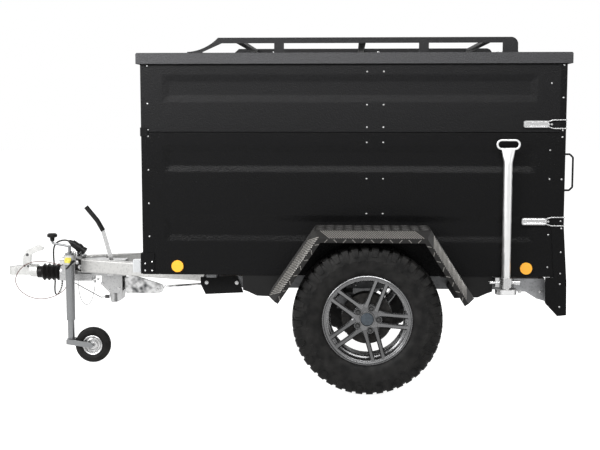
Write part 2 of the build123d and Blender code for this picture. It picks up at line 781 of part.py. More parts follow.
def fender():
    """The left fender: a folded sheet that follows a four-point arch outside the wall."""
    thick = FENDER_SHEET
    fold = FENDER_OUT - FENDER_CHAMFER
    start = Vector(FENDER_ARCH[0][0], 0, FENDER_ARCH[0][1])
    next_point = Vector(FENDER_ARCH[1][0], 0, FENDER_ARCH[1][1])
    run = next_point - start
    inward = run.cross(Vector(0, -1, 0)).normalized() * -1
    if inward.X < 0:
        inward = inward * -1

    def at(y, depth):
        return start + Vector(0, -y, 0) + inward * depth

    low = FENDER_CHAMFER + FENDER_LIP
    section = (
        at(HALF, 0),
        at(fold, 0),
        at(FENDER_OUT, FENDER_CHAMFER),
        at(FENDER_OUT, low),
        at(FENDER_OUT - thick, low),
        at(FENDER_OUT - thick, FENDER_CHAMFER + thick * 0.4),
        at(fold - thick * 0.4, thick),
        at(HALF, thick),
    )
    path = Polyline(*[(x, 0, z) for x, z in FENDER_ARCH])
    return sweep(make_face(Polyline(*section, close=True)), path=path, transition=Transition.RIGHT)


# ---- Coupling and overrun ----------------------------------------------------------------
def coupling_head():
    """The cast ball coupling, with the socket for the towing ball underneath."""
    back = COUPLING_REAR
    nose = COUPLING_NOSE + COUPLING_HALF + 6
    low = COUPLING_LOW
    body = block((nose, back), (-COUPLING_HALF, COUPLING_HALF), (low, COUPLING_Z + 26))
    body += Pos(nose, 0, low + 22) * Cylinder(COUPLING_HALF + 6, 44)
    body += rod((back - 40, 0, COUPLING_Z), (back, 0, COUPLING_Z), COUPLING_HALF + 6)
    socket_r = BALL_R + PIN_GAP
    socket = Pos(BALL_X, 0, low + SOCKET_DEEP) * Sphere(socket_r)
    mouth = rod((BALL_X, 0, low), (BALL_X, 0, low + SOCKET_DEEP), socket_r)
    return body - socket - mouth


def coupling_handle():
    """The lifting handle on top of the coupling: an upright post and a grip swept back."""
    outline = [(COUPLING_NOSE + x, COUPLING_Z + z) for x, z in HANDLE_SIDE]
    return plate(outline, (-HANDLE_HALF, HANDLE_HALF)) - coupling_head()


def bellows():
    """The folded rubber boot round the drawing shaft, with a plain collar at its front."""
    bore = SHAFT_R + SEAT_GAP
    pitch = (BELLOWS_LENGTH - BELLOWS_COLLAR) / BELLOWS_FOLDS
    outline = [(bore, 0), (BELLOWS_COLLAR_R, 0), (BELLOWS_COLLAR_R, BELLOWS_COLLAR)]
    for fold in range(BELLOWS_FOLDS):
        start = BELLOWS_COLLAR + fold * pitch
        outline.append((BELLOWS_R, start + pitch / 2))
        outline.append((BELLOWS_R - 12, start + pitch))
    outline.append((bore, BELLOWS_LENGTH))
    return turned(outline, (COUPLING_REAR, 0, SHAFT_Z), (1, 0, 0))


def overrun_housing():
    """The overrun housing: shaft, drawing tube, head block, tail block and flange."""
    head = BEAM_FRONT - HEAD_BLOCK
    lower_end = BEAM_FRONT + LOWER_TUBE_REACH
    y = (-HOUSING_HALF, HOUSING_HALF)
    body = rod((COUPLING_REAR, 0, SHAFT_Z), (BELLOWS_REAR, 0, SHAFT_Z), SHAFT_R)
    body += rod((BELLOWS_REAR, 0, SHAFT_Z), (lower_end, 0, SHAFT_Z), DRAW_TUBE_R)
    body += block((head, BEAM_FRONT), y, (LOWER_TUBE_TOP - 10, DECK_LOW))
    body += block(
        (BELLOWS_REAR + 4, lower_end),
        (-LOWER_TUBE_HALF, LOWER_TUBE_HALF),
        (LOWER_TUBE_LOW, LOWER_TUBE_TOP),
    )
    body += block((lower_end, HOUSING_REAR), y, (TAIL_BLOCK_LOW, DECK_LOW - FLANGE_INSET))
    rear = BEAM_FRONT + FLANGE_LENGTH
    front_in, rear_in = beam_in(BEAM_FRONT), beam_in(rear)
    flange = ((BEAM_FRONT, -front_in), (rear, -rear_in), (rear, rear_in), (BEAM_FRONT, front_in))
    body += slab(flange, (BEAM_LOW + FLANGE_INSET, DECK_LOW - FLANGE_INSET))
    body += block(
        (BEAM_FRONT - 10, BEAM_FRONT + 40),
        (-TOP_PLATE_HALF, TOP_PLATE_HALF),
        (DECK_LOW, HOUSING_TOP),
    )
    return body


def lever_bracket():
    """The side plates on the housing's tail that carry the brake lever and the clamp."""
    outline = ((-1466, 530), (-1353, 530), (-1354, 374), (-1425, 372), (-1470, 418))
    cheek = plate(outline, (-HOUSING_HALF - CHEEK, -HOUSING_HALF))
    foot_outline = ((-1430, 384), (-1354, 384), (-1362, 332), (-1394, 316), (-1418, 318))
    foot = plate(foot_outline, (-HOUSING_HALF, HOUSING_HALF))
    return cheek + foot + mirrored(cheek)


def brake_lever():
    """The handbrake's flat steel lever beside the housing."""
    outline = (
        (-1436, 470),
        (-1404, 470),
        (-1400, 564),
        (-1445, 720),
        (-1460, 748),
        (-1474, 740),
        (-1464, 713),
        (-1423, 561),
    )
    return plate(outline, (LEVER_Y, LEVER_Y + LEVER_THICK))


def lever_grip():
    """The handbrake's black grip, bent forward over the lever's tip."""
    y = LEVER_Y + LEVER_THICK / 2
    points = ((-1455, y, 722), (-1486, y, 778), (-1548, y, 854))
    return bent_bar(points, 13, 60) - brake_lever()


def brake_linkage():
    """The broad spring yoke on its pin between the cheeks, with the brake rod to the axle."""
    outline = (
        (-1388, 452),
        (-1290, 458),
        (-1244, 446),
        (-1140, 412),
        (-1129, 394),
        (-1136, 374),
        (-1160, 366),
        (-1340, 366),
        (-1346, 392),
        (-1388, 412),
    )
    yoke = plate(outline, (-YOKE_HALF, YOKE_HALF))
    pin = rod((-1375, -HOUSING_HALF, 430), (-1375, HOUSING_HALF, 430), 8)
    end = (AXLE_TUBE_X - AXLE_TUBE / 2 - 0.6, 0, RAIL_LOW - 5)
    return yoke + pin + rod((-1150, 0, 400), end, 6)


# ---- Jockey wheel ------------------------------------------------------------------------
def jockey_clamp():
    """The clamp that holds the jockey wheel's outer tube beside the drawbar."""
    x, y = JOCKEY_X, JOCKEY_Y
    wide = JOCKEY_TUBE_R + 8
    body = rod((x, y, CLAMP_BODY_LOW), (x, y, CLAMP_BODY_TOP), wide)
    body += block((x - 54, x - 8), (y - 12, -HOUSING_HALF), (CLAMP_BODY_LOW, DECK_LOW - 1))
    middle = (CLAMP_BODY_LOW + CLAMP_BODY_TOP) / 2
    handle = rod((x - wide - 36, y, middle), (x - 20, y, middle), 6)
    bore = rod((x, y, CLAMP_BODY_LOW - 1), (x, y, CLAMP_BODY_TOP + 1), JOCKEY_TUBE_R)
    return body + handle - bore


def crank_points():
    """The crank's line from the winding shaft out to the knob's pin."""
    x, y = JOCKEY_X, JOCKEY_Y
    low = JOCKEY_TUBE_TOP + CRANK_SHAFT
    high = low + CRANK_RISE
    return (x, y, low), (x - CRANK_REACH, y, high), (x - CRANK_REACH, y, high + 30)


def jockey_outer_tube():
    """The outer tube with its winding shaft and crank arm."""
    x, y, low, top = JOCKEY_X, JOCKEY_Y, JOCKEY_TUBE_LOW, JOCKEY_TUBE_TOP
    inner = JOCKEY_INNER_R + PIN_GAP
    body = tube((x, y, low), (x, y, top), JOCKEY_TUBE_R, inner)
    body += rod((x, y, top - 4), (x, y, top + 8), JOCKEY_TUBE_R)
    body += rod((x, y, top), (x, y, top + CRANK_SHAFT), 8)
    return body + bent_bar(crank_points(), CRANK_R, 12)


def crank_grip():
    """The crank's black knob."""
    x, y, tip = crank_points()[2]
    foot = (x, y, tip - 18)
    knob = turned(((0, 0), (11, 0), (13, 18), (27, 24), (28, 37), (20, 43), (0, 45)), foot, (0, 0, 1))
    return knob - rod(foot, (x, y, tip + PIN_GAP), CRANK_R + PIN_GAP)


def jockey_inner_tube():
    """The sliding inner tube, closed below by the kingpin that the fork turns on."""
    outer, low = JOCKEY_INNER_R, FORK_TOP
    x, y = JOCKEY_X, JOCKEY_Y
    body = tube((x, y, low), (x, y, JOCKEY_TUBE_TOP - 140), outer, outer - JOCKEY_WALL)
    body += rod((x, y, low), (x, y, low + FORK_CROWN), outer)
    under = low - FORK_CROWN - PIN_GAP
    body += rod((x, y, under), (x, y, low), KINGPIN_R)
    return body + rod((x, y, under - KINGPIN_HEAD), (x, y, under), KINGPIN_R + KINGPIN_HEAD)


def jockey_fork():
    """The castering fork: a crown round the kingpin and two swept plates with the axle."""
    x, y = JOCKEY_X, JOCKEY_Y
    low, high = FORK_TOP - FORK_CROWN, FORK_TOP - PIN_GAP
    half = JOCKEY_WHEEL_WIDE / 2 + FORK_GAP
    axle_x, axle_z = x + JOCKEY_TRAIL, JOCKEY_WHEEL_R
    outline = (
        (x - 20, low),
        (x - 20, high),
        (x + 16, high),
        (axle_x + 4, axle_z + 14),
        (axle_x + 12, axle_z),
        (axle_x, axle_z - 14),
        (x + 10, low - 4),
    )
    body = rod((x, y, low), (x, y, high), JOCKEY_TUBE_R)
    body += block((x - 20, x + 16), (y - half - 1, y + half + 1), (low, low + 12))
    for side in (y - half - FORK_PLATE, y + half):
        body += plate(outline, (side, side + FORK_PLATE))
    reach = half + FORK_PLATE + 6
    body += rod((axle_x, y - reach, axle_z), (axle_x, y + reach, axle_z), JOCKEY_AXLE_R)
    return body - rod((x, y, low - 1), (x, y, high + 1), KINGPIN_R + PIN_GAP)


def jockey_wheel_seat():
    """Where the jockey wheel sits, its own axis along the axle and one facet's corner down."""
    centre = (JOCKEY_X + JOCKEY_TRAIL, JOCKEY_Y, JOCKEY_WHEEL_R)
    return Plane(origin=centre, x_dir=(1, 0, 0), z_dir=(0, -1, 0)).location


def jockey_tyre():
    """The jockey wheel's solid rubber tyre."""
    half, outer = JOCKEY_WHEEL_WIDE / 2, JOCKEY_WHEEL_R
    seat = (JOCKEY_RIM_R + PIN_GAP) / cos(pi / JOCKEY_FACETS)
    side = [(seat, half - 4), (outer - 22, half), (outer - 7, half - 4), (outer, half - 14)]
    ring = faceted(side + [(r, -a) for r, a in reversed(side)], JOCKEY_FACETS)
    return jockey_wheel_seat() * ring


def jockey_rim():
    """The jockey wheel's pressed rim with its hub."""
    half, seat = JOCKEY_WHEEL_WIDE / 2, JOCKEY_RIM_R
    hub_half = half + FORK_GAP - 1
    bore = JOCKEY_AXLE_R + 0.1
    return turned(
        (
            (bore, -hub_half),
            (17, -hub_half),
            (20, -12),
            (seat - 8, -8),
            (seat - 4, -half + 4),
            (seat, -half + 4),
            (seat, half - 4),
            (seat - 4, half - 4),
            (seat - 8, 8),
            (20, 12),
            (17, hub_half),
            (bore, hub_half),
        ),
        (JOCKEY_X + JOCKEY_TRAIL, JOCKEY_Y, JOCKEY_WHEEL_R),
        (0, -1, 0),
    )


# ---- Prop stands, latches, handles and lamps ---------------------------------------------
def prop_stand():
    """The left prop stand: foot disc, tube, flared neck and oval ring handle."""
    x, y = PROP_X, -PROP_Y
    low = PROP_FOOT_LOW + PROP_FOOT_THICK
    body = rod((x, y, PROP_FOOT_LOW), (x, y, low), PROP_FOOT_R)
    body += rod((x, y, low), (x, y, PROP_NECK_LOW), PROP_R)
    neck_low = Plane(origin=(x, y, PROP_NECK_LOW))
    neck_top = Plane(origin=(x, y, PROP_NECK_TOP))
    flare = [neck_low * Circle(PROP_R), neck_top * Ellipse(34, 13)]
    body += loft(flare)
    middle = PROP_NECK_TOP + PROP_RING_TALL / 2 - 2
    ring_plane = Plane(origin=(x, y, middle), x_dir=(1, 0, 0), z_dir=(0, -1, 0))
    straight = PROP_RING_WIDE - PROP_RING_TALL
    outer = SlotCenterToCenter(straight, PROP_RING_TALL)
    inner = SlotCenterToCenter(straight, PROP_RING_TALL - 4 * PROP_RING_BAR)
    ring = extrude(ring_plane * (outer - inner), amount=PROP_RING_BAR, both=True)
    ring = fillet(ring.edges().filter_by(GeomType.CIRCLE) + ring.edges().filter_by(Axis.X), 3)
    return body + ring


def prop_clamp():
    """The left stand's clamp, bolted to the rail's outer face."""
    x, y = PROP_X, -PROP_Y
    z = (CLAMP_LOW, CLAMP_LOW + CLAMP_TALL)
    body = block((x - 52, x + 22), (y, -RAIL_OUT), z)
    body += rod((x, y, z[0]), (x, y, z[1]), PROP_R + 11)
    middle = (z[0] + z[1]) / 2
    body += rod((x - 80, y, middle), (x + 40, y, middle), 7)
    body += rod((x + 30, y, middle), (x + 68, y, middle), 12)
    return body - rod((x, y, z[0]), (x, y, z[1]), PROP_R + PIN_GAP)


def latch(seat):
    """One over-centre latch on the left wall: lever, base and the bail round the post."""
    wall = -HALF
    base = block((BOX_REAR - 198, BOX_REAR - 90), (wall - 4, wall), (seat - 14, seat + 14))
    low_side = ((-209, -12), (-202, -17), (-94, -17), (-86, -8))
    corners = low_side + tuple((x, -z) for x, z in reversed(low_side))
    lever = plate([(BOX_REAR + x, seat + z) for x, z in corners], (wall - 14, wall - 4))
    reach = BOX_REAR + BAIL_R
    out = wall - 9
    hook_y = -POST_IN - 7
    lower = (
        (BOX_REAR - 104, out, seat - 8),
        (BOX_REAR - 62, out, seat - 21),
        (reach, out, seat - 21),
        (reach, hook_y, seat - 21),
    )
    upper = [(x, y, 2 * seat - z) for x, y, z in reversed(lower)]
    bail = bent_bar(list(lower) + upper, BAIL_R, 5)
    return base + lever + bail


def latches():
    """Two latches a side, one on the tailgate's level and one on the flap's."""
    seats = (FLOOR_TOP + 0.745 * LEVEL, UPPER_LOW + 0.12 * LEVEL)
    return Part() + [paired(latch(seat)) for seat in seats]


def tailgate_handles():
    """Two upright grab handles on the tailgate."""
    low, high = HANDLE_LOW, HANDLE_LOW + HANDLE_TALL
    out = DOOR_REAR + HANDLE_REACH
    y = -HANDLE_Y
    cut = HANDLE_CHAMFER
    points = (
        (DOOR_REAR, y, low),
        (out - cut, y, low),
        (out, y, low + cut),
        (out, y, high - cut),
        (out - cut, y, high),
        (DOOR_REAR, y, high),
    )
    return paired(bent_bar(points, HANDLE_BAR, 6))


def corner_brackets():
    """The black brackets at the left front corner: the lamp's, and the seam's."""
    wall = -HALF
    z = (BOX_LOW + 3, BOX_LOW + 109)
    body = block((BOX_FRONT - 10, BOX_FRONT + 59), (wall - 5, wall), z)
    body += block((BOX_FRONT - 8, BOX_FRONT), (wall - 5, wall + 60), z)
    seam = block((BOX_FRONT - 4, BOX_FRONT + 34), (wall - 4, wall), (1256, 1300))
    seam += block((BOX_FRONT - 4, BOX_FRONT), (wall - 4, wall + 34), (1256, 1300))
    return body + seam


def marker_lamp():
    """The left white front marker lamp."""
    lens = block((BOX_FRONT - 54, BOX_FRONT - 8), (-HALF + 2, -HALF + 52), (BOX_LOW + 9, BOX_LOW + 71))
    return fillet(lens.edges().filter_by(Axis.Z), radius=8)


def lamp_carrier():
    """The left tail lamp's housing and its side plate up the box's rear corner."""
    tall = ((-62, 814), (0, 814), (20, 533), (23, 365), (-22, 360), (-83, 425), (-86, 549), (-43, 549))
    deep = ((-62, 536), (-2, 536), (-2, 380), (-19, 372), (-62, 410))
    side = plate([(BOX_REAR + x, z) for x, z in tall], (-HALF - 5, -HALF))
    return side + plate([(BOX_REAR + x, z) for x, z in deep], (-HALF, -HALF + 130))


def tail_lamp():
    """The left tail lamp's lens."""
    lens = block((BOX_REAR - 2, BOX_REAR + 12), (-HALF + 10, -HALF + 120), (400, 520))
    return fillet(lens.edges().filter_by(Axis.X), radius=12)


def side_reflectors():
    """Two round side reflectors on each side of the box."""
    z = BOX_LOW + 43
    discs = [rod((x, -HALF - 8, z), (x, -HALF, z), 30) for x in (BOX_FRONT + 177, BOX_REAR - 181)]
    return paired(Part() + discs)


# ---- Plug and cords ------------------------------------------------------------------------
PLUG_AXIS = ((-1634, -40, 649), (-1562, -40, 601))
PLUG_R = 20.0
CABLE_R = 4.5
CABLE_ROUTE = (
    (-1634, -40, 649),
    (-1656, -40, 664),
    (-1690, -36, 665),
    (-1726, -22, 652),
    (-1752, 6, 622),
    (-1765, 40, 578),
    (-1769, 62, 526),
    (-1768, 71, 474),
    (-1764, 62, 424),
    (-1762, 40, 380),
    (-1752, 14, 350),
    (-1730, -6, 353),
    (-1703, -14, 402),
    (-1703, -14, 438),
)
BREAKAWAY_R = 2.0
BREAKAWAY_ROUTE = (
    (-1688, -50, 528),
    (-1688, -68, 528),
    (-1708, -78, 534),
    (-1742, -78, 542),
    (-1780, -62, 546),
    (-1822, -74, 550),
    (-1864, -83, 544),
    (-1906, -89, 520),
    (-1936, -92, 484),
    (-1948, -93, 440),
    (-1930, -92, 398),
    (-1894, -90, 364),
    (-1850, -87, 344),
    (-1800, -82, 338),
    (-1752, -75, 346),
    (-1710, -66, 364),
    (-1680, -52, 388),
    (-1670, -44, 410),
    (-1670, -44, 438),
)
WIRE_R = 1.5
WIRE_ROUTE = (
    (-1605, -44, 438),
    (-1604, -46, 396),
    (-1592, -54, 342),
    (-1568, -62, 306),
    (-1541, -62, 306),
    (-1522, -54, 342),
    (-1512, -46, 392),
    (-1509, -44, 430),
    (-1509, -43, 468),
)


def cord_radii(route):
    """As large a radius at each bend as the two runs beside it allow."""
    points = [Vector(*point) for point in route]
    radii = []
    for before, at, after in zip(points, points[1:], points[2:]):
        run_in, run_out = at - before, after - at
        half_turn = radians(run_in.get_angle(run_out)) / 2
        radii.append(0.45 * min(run_in.length, run_out.length) / tan(half_turn))
    return radii


def cord(name, route, radius):
    """A free cord as a plain tube along its route."""
    radii = cord_radii(route)
    print(name, "radii", [round(value) for value in radii])
    path = FilletPolyline(*route, radius=radii)
    print(name, "length", round(path.length))
    return sweep(Plane(origin=path @ 0, z_dir=path % 0) * Circle(radius), path=path)


def plug():
    """The lighting plug with its flap hinge, as it lies parked."""
    tail, mouth = PLUG_AXIS
    return rod(tail, mouth, PLUG_R)


def plug_holder():
    """The stalk and ring on the housing that the parked plug sits in."""
    tail, mouth = PLUG_AXIS
    run = Vector(*mouth) - Vector(*tail)
    ring_low = Vector(*tail) + run * 0.45
    ring_high = Vector(*tail) + run * 0.62
    ring = tube(tuple(ring_low), tuple(ring_high), PLUG_R + 4, PLUG_R + PIN_GAP)
    x = (ring_low.X + ring_high.X) / 2
    stalk = block((x - 12, x + 12), (-43, -37), (HOUSING_TOP, (ring_low.Z + ring_high.Z) / 2))
    return ring + stalk - rod(tail, mouth, PLUG_R + PIN_GAP)


parts = {}
lid_fixed, lid_moving = lid_hinges()
gate_fixed, gate_moving = gate_hinges()
parts["floor_panel"] = floor_panel()
parts["side_wall_left"] = side_wall(BOX_LOW, FLOOR_TOP, 2)
parts["side_wall_right"] = mirrored(parts["side_wall_left"])
parts["upper_side_wall_left"] = side_wall(UPPER_LOW, UPPER_LOW, 1) - seam_cut(UPPER_LOW)
parts["upper_side_wall_right"] = mirrored(parts["upper_side_wall_left"])
parts["front_wall"] = front_wall(DECK_LOW, FLOOR_TOP, 2)
parts["upper_front_wall"] = front_wall(UPPER_LOW, UPPER_LOW, 1) - seam_cut(UPPER_LOW)
parts["rear_posts"] = rear_posts()
parts["hinge_brackets"] = lid_fixed + gate_fixed
parts["lid"] = lid(lid_moving)
parts["rack_rails"] = paired(rack_rail())
parts["rack_bars"] = rack_bars()
parts["tailgate"] = tailgate(gate_moving)
parts["rear_flap"] = rear_flap()
parts["frame_rails"] = paired(frame_rail())
parts["cross_members"] = cross_members()
parts["drawbar_beams"] = paired(drawbar_beam())
parts["rail_shoes"] = paired(rail_shoe())
parts["rail_end_plates"] = paired(rail_end_plate())
parts["wheel_chocks"] = wheel_chock(-1) + wheel_chock(1)
parts["axle_beam"] = axle_beam()
parts["suspension_arms"] = paired(suspension_arm())
parts["tyre_left"] = tyre()
parts["rim_left"] = rim()
parts["drum_left"] = drum()
for name in ("tyre", "rim", "drum"):
    parts[name + "_right"] = mirrored(parts[name + "_left"])
parts["fender_left"] = fender()
parts["fender_right"] = mirrored(parts["fender_left"])
parts["coupling_head"] = coupling_head()
parts["coupling_handle"] = coupling_handle()
parts["bellows"] = bellows()
parts["overrun_housing"] = overrun_housing()

parts["plug_holder"] = plug_holder()
parts["plug"] = plug()
parts["plug_cable"] = cord("plug_cable", CABLE_ROUTE, CABLE_R)
parts["breakaway_cable"] = cord("breakaway_cable", BREAKAWAY_ROUTE, BREAKAWAY_R)
parts["safety_wire"] = cord("safety_wire", WIRE_ROUTE, WIRE_R)
parts["lever_bracket"] = lever_bracket()
parts["brake_lever"] = brake_lever()
parts["brake_linkage"] = brake_linkage()
parts["jockey_clamp"] = jockey_clamp()
parts["jockey_outer_tube"] = jockey_outer_tube()
parts["grips"] = lever_grip() + crank_grip()
parts["jockey_inner_tube"] = jockey_inner_tube()
parts["jockey_fork"] = jockey_fork()
parts["jockey_tyre"] = jockey_tyre()
parts["jockey_rim"] = jockey_rim()
parts["prop_stand_left"] = prop_stand()
parts["prop_stand_right"] = mirrored(parts["prop_stand_left"])
parts["prop_clamps"] = paired(prop_clamp())
parts["latches"] = latches()
parts["tailgate_handles"] = tailgate_handles()
parts["corner_brackets"] = paired(corner_brackets())
parts["marker_lamps"] = paired(marker_lamp())
parts["lamp_carriers"] = paired(lamp_carrier())
parts["tail_lamps"] = paired(tail_lamp())
parts["side_reflectors"] = side_reflectors()

os.makedirs("parts", exist_ok=True)
for name, shape in parts.items():
    save(name, shape)
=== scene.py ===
# %% [markdown]
# # Dressing an off-road box trailer
# The trailer's solids come packed as a fixed frame, at their real size, with +X to the rear, +Y to
# the trailer's right and +Z up. Nothing here moves or resizes them. Each cell adds one finish or one
# piece in metres, puts it on the body that carries it, and prints what it made.

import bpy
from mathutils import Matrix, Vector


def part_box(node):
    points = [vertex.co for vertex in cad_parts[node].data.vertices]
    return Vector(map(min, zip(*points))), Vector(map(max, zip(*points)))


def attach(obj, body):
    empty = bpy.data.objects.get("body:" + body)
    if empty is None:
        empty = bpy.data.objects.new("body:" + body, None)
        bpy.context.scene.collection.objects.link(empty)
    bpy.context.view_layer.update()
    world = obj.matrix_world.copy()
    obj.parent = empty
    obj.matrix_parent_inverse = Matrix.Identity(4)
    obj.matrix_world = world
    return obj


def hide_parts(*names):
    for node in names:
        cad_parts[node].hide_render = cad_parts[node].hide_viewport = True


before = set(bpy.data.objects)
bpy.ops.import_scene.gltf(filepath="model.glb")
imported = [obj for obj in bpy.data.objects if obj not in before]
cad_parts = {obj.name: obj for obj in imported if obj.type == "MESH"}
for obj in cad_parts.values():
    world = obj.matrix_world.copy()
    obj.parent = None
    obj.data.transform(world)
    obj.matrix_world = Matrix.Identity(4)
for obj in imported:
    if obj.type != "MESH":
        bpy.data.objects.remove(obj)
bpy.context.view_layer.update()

# %% Modules, and the axle line that every place is counted from
from math import cos, pi, radians, sin, tau

import bmesh
import bpy
from mathutils import Matrix, Vector

SIDES = ((-1, "left"), (1, "right"))
tyre_low, tyre_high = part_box("tyre_left")
AXLE = (tyre_low.x + tyre_high.x) / 2


def at(x, y, z):
    """A point from the axle line (x), the centre plane (y) and the ground (z), in metres."""
    return Vector((AXLE + x, y, z))


def placed(name, data):
    """A new object in the scene."""
    thing = bpy.data.objects.new(name, data)
    bpy.context.scene.collection.objects.link(thing)
    return thing


print("the axle line lies at x =", round(AXLE, 4))

# %% [markdown]
# ## Camera
# A long lens from a little over waist height keeps the side of the box almost flat, with just a
# hint of the far beams of the drawbar. The camera comes first because the length check on the
# cords asks what it sees.

# %% Camera
LENS = 64.66
SENSOR = 36.0
FARTHEST = 200.0
CAMERA_PLACE = (0.411, -5.940, 1.388)
CAMERA_TILT, CAMERA_TURN = radians(83.90), radians(2.76)
camera = placed("camera", bpy.data.cameras.new("camera"))
camera.data.lens = LENS
camera.data.sensor_width = SENSOR
camera.data.clip_end = FARTHEST
camera.location = CAMERA_PLACE
camera.rotation_euler = (CAMERA_TILT, 0.0, CAMERA_TURN)
bpy.context.scene.camera = camera
print("camera", [round(v, 3) for v in camera.location], "lens", LENS)

# %% [markdown]
# ## Finishes
# A finish here is a small node tree on the Principled shader. Three helpers cover what the real
# surfaces do: `noise` gives an uneven field in object space, `bumped` lets such a field disturb the
# normal, and `toned` lets it shift the colour between shades. Constant numbers stay on the shader's
# own sockets. A simple finish names its mottle (scale, detail, stops) and its grain (scale, detail,
# height) at once.


# %% A finish with one shader
def sockets(material):
    """The inputs of the material's own shader."""
    return material.node_tree.nodes["Principled BSDF"].inputs


def new_finish(name, colour, roughness, metallic=0.0, specular=0.5, mottle=None, grain=None):
    """A material with one Principled shader, and an uneven tone and surface where they are given."""
    material = bpy.data.materials.new(name)
    material.use_nodes = True
    shader = sockets(material)
    shader["Base Color"].default_value = (*colour, 1.0)
    shader["Roughness"].default_value = roughness
    shader["Metallic"].default_value = metallic
    shader["Specular IOR Level"].default_value = specular
    if mottle:
        scale, detail, *stops = mottle
        toned(material, noise(material, scale, detail), stops)
    if grain:
        scale, detail, height = grain
        bumped(material, noise(material, scale, detail), height)
    return material


# %% Fields, ramps and bumps
def noise(material, scale, detail=2.0, kind="ShaderNodeTexNoise"):
    """A noise field in object space; scale is in features to the metre."""
    nodes, links = material.node_tree.nodes, material.node_tree.links
    place = nodes.get("place") or nodes.new("ShaderNodeTexCoord")
    place.name = "place"
    field = nodes.new(kind)
    field.inputs["Scale"].default_value = scale
    if "Detail" in field.inputs:
        field.inputs["Detail"].default_value = detail
    links.new(place.outputs["Object"], field.inputs["Vector"])
    return field.outputs[0]


def ramped(material, field, stops):
    """A field turned into colours or greys by (position, colour) stops."""
    nodes, links = material.node_tree.nodes, material.node_tree.links
    ramp = nodes.new("ShaderNodeValToRGB")
    while len(ramp.color_ramp.elements) < len(stops):
        ramp.color_ramp.elements.new(0.5)
    for element, (position, colour) in zip(ramp.color_ramp.elements, stops):
        element.position = position
        element.color = (*colour, 1.0) if hasattr(colour, "__len__") else (colour,) * 3 + (1.0,)
    links.new(field, ramp.inputs["Fac"])
    return ramp.outputs["Color"]


def toned(material, field, stops, socket="Base Color"):
    """The field drives one socket of the shader through a ramp."""
    material.node_tree.links.new(ramped(material, field, stops), sockets(material)[socket])


def bumped(material, field, height, strength=1.0):
    """The field raises the surface by up to height metres; bumps stack on each other."""
    nodes, links = material.node_tree.nodes, material.node_tree.links
    normal = sockets(material)["Normal"]
    bump = nodes.new("ShaderNodeBump")
    bump.inputs["Distance"].default_value = height
    bump.inputs["Strength"].default_value = strength
    links.new(field, bump.inputs["Height"])
    if normal.links:
        links.new(normal.links[0].from_socket, bump.inputs["Normal"])
    links.new(bump.outputs["Normal"], normal)


print("node helpers ready")

# %% [markdown]
# ### Paint, steel and rubber
# The box wears a coarse textured powder coat, so it has two noises: a fine grain that breaks up the
# highlight, and a slow drift in its surface. Hot-dip zinc grows crystals, which a Voronoi field
# draws in slightly different greys. Rubber is nearly black and matt, with a dusty bloom.


# %% Powder coats
COARSE_GRAIN, COARSE_HEIGHT, COARSE_SHARE = 120.0, 0.0022, 0.55
DRIFT, DRIFT_HEIGHT = 9.0, 0.0006


def powder_coat(name, dark, light, roughness, grain, height, specular):
    """Black textured powder coat between two close shades."""
    material = new_finish(name, dark, roughness, specular=specular,
                          mottle=(grain, 1.0, (0.35, dark), (0.72, light)), grain=(grain * 0.55, 2.0, height))
    bumped(material, noise(material, COARSE_GRAIN, 1.0), COARSE_HEIGHT, COARSE_SHARE)
    bumped(material, noise(material, DRIFT, 1.0), DRIFT_HEIGHT)
    return material


# The next three coats are one black paint in lit and shaded copies: the upper walls' and the lid's are
# lighter, painted light, and the lower walls' is darker, painted shade.
UPPER_BLACK_PAINTED_LIGHT = powder_coat("upper_black_painted_light", (0.004, 0.004, 0.0042), (0.015, 0.015, 0.0156),
                          0.42, 300, 0.0016, 0.06)
HOOD_BLACK_PAINTED_LIGHT = powder_coat("hood_black_painted_light", (0.021, 0.021, 0.0218), (0.074, 0.074, 0.0772),
                         0.62, 300, 0.0014, 0.1)
WALL_BLACK_PAINTED_SHADE = powder_coat("wall_black_painted_shade", (0.0025, 0.0025, 0.0026), (0.009, 0.009, 0.0094),
                         0.24, 300, 0.0016, 0.066)
RACK_BLACK = powder_coat("rack_black", (0.009, 0.009, 0.0095), (0.02, 0.02, 0.021),
                         0.5, 700, 0.0004, 0.1)
BRACKET_BLACK = powder_coat("bracket_black", (0.0025, 0.0025, 0.0025), (0.007, 0.007, 0.0075),
                            0.4, 900, 0.0003, 0.07)
print("powder coats for the walls, the lid, the rack and the brackets")


# %% Metals
def galvanised(name, dark, light, roughness, crystals=70.0):
    """Hot-dip zinc with its crystals."""
    material = new_finish(name, light, roughness, metallic=0.85)
    cells = noise(material, crystals, kind="ShaderNodeTexVoronoi")
    toned(material, cells, [(0.1, dark), (0.9, light)])
    worn = [(0.3, roughness - 0.08), (0.7, roughness + 0.12)]
    toned(material, noise(material, 30.0, 4.0), worn, "Roughness")
    bumped(material, noise(material, 60.0, 3.0), 0.0004)
    return material


def plated(name, colour, roughness, streak=160.0):
    """Bright zinc plate or polished aluminium, with faint handling marks."""
    material = new_finish(name, colour, roughness, metallic=0.95)
    handled = [(0.3, roughness - 0.06), (0.75, roughness + 0.1)]
    toned(material, noise(material, streak, 3.0), handled, "Roughness")
    bumped(material, noise(material, 90.0, 2.0), 0.00004)
    return material


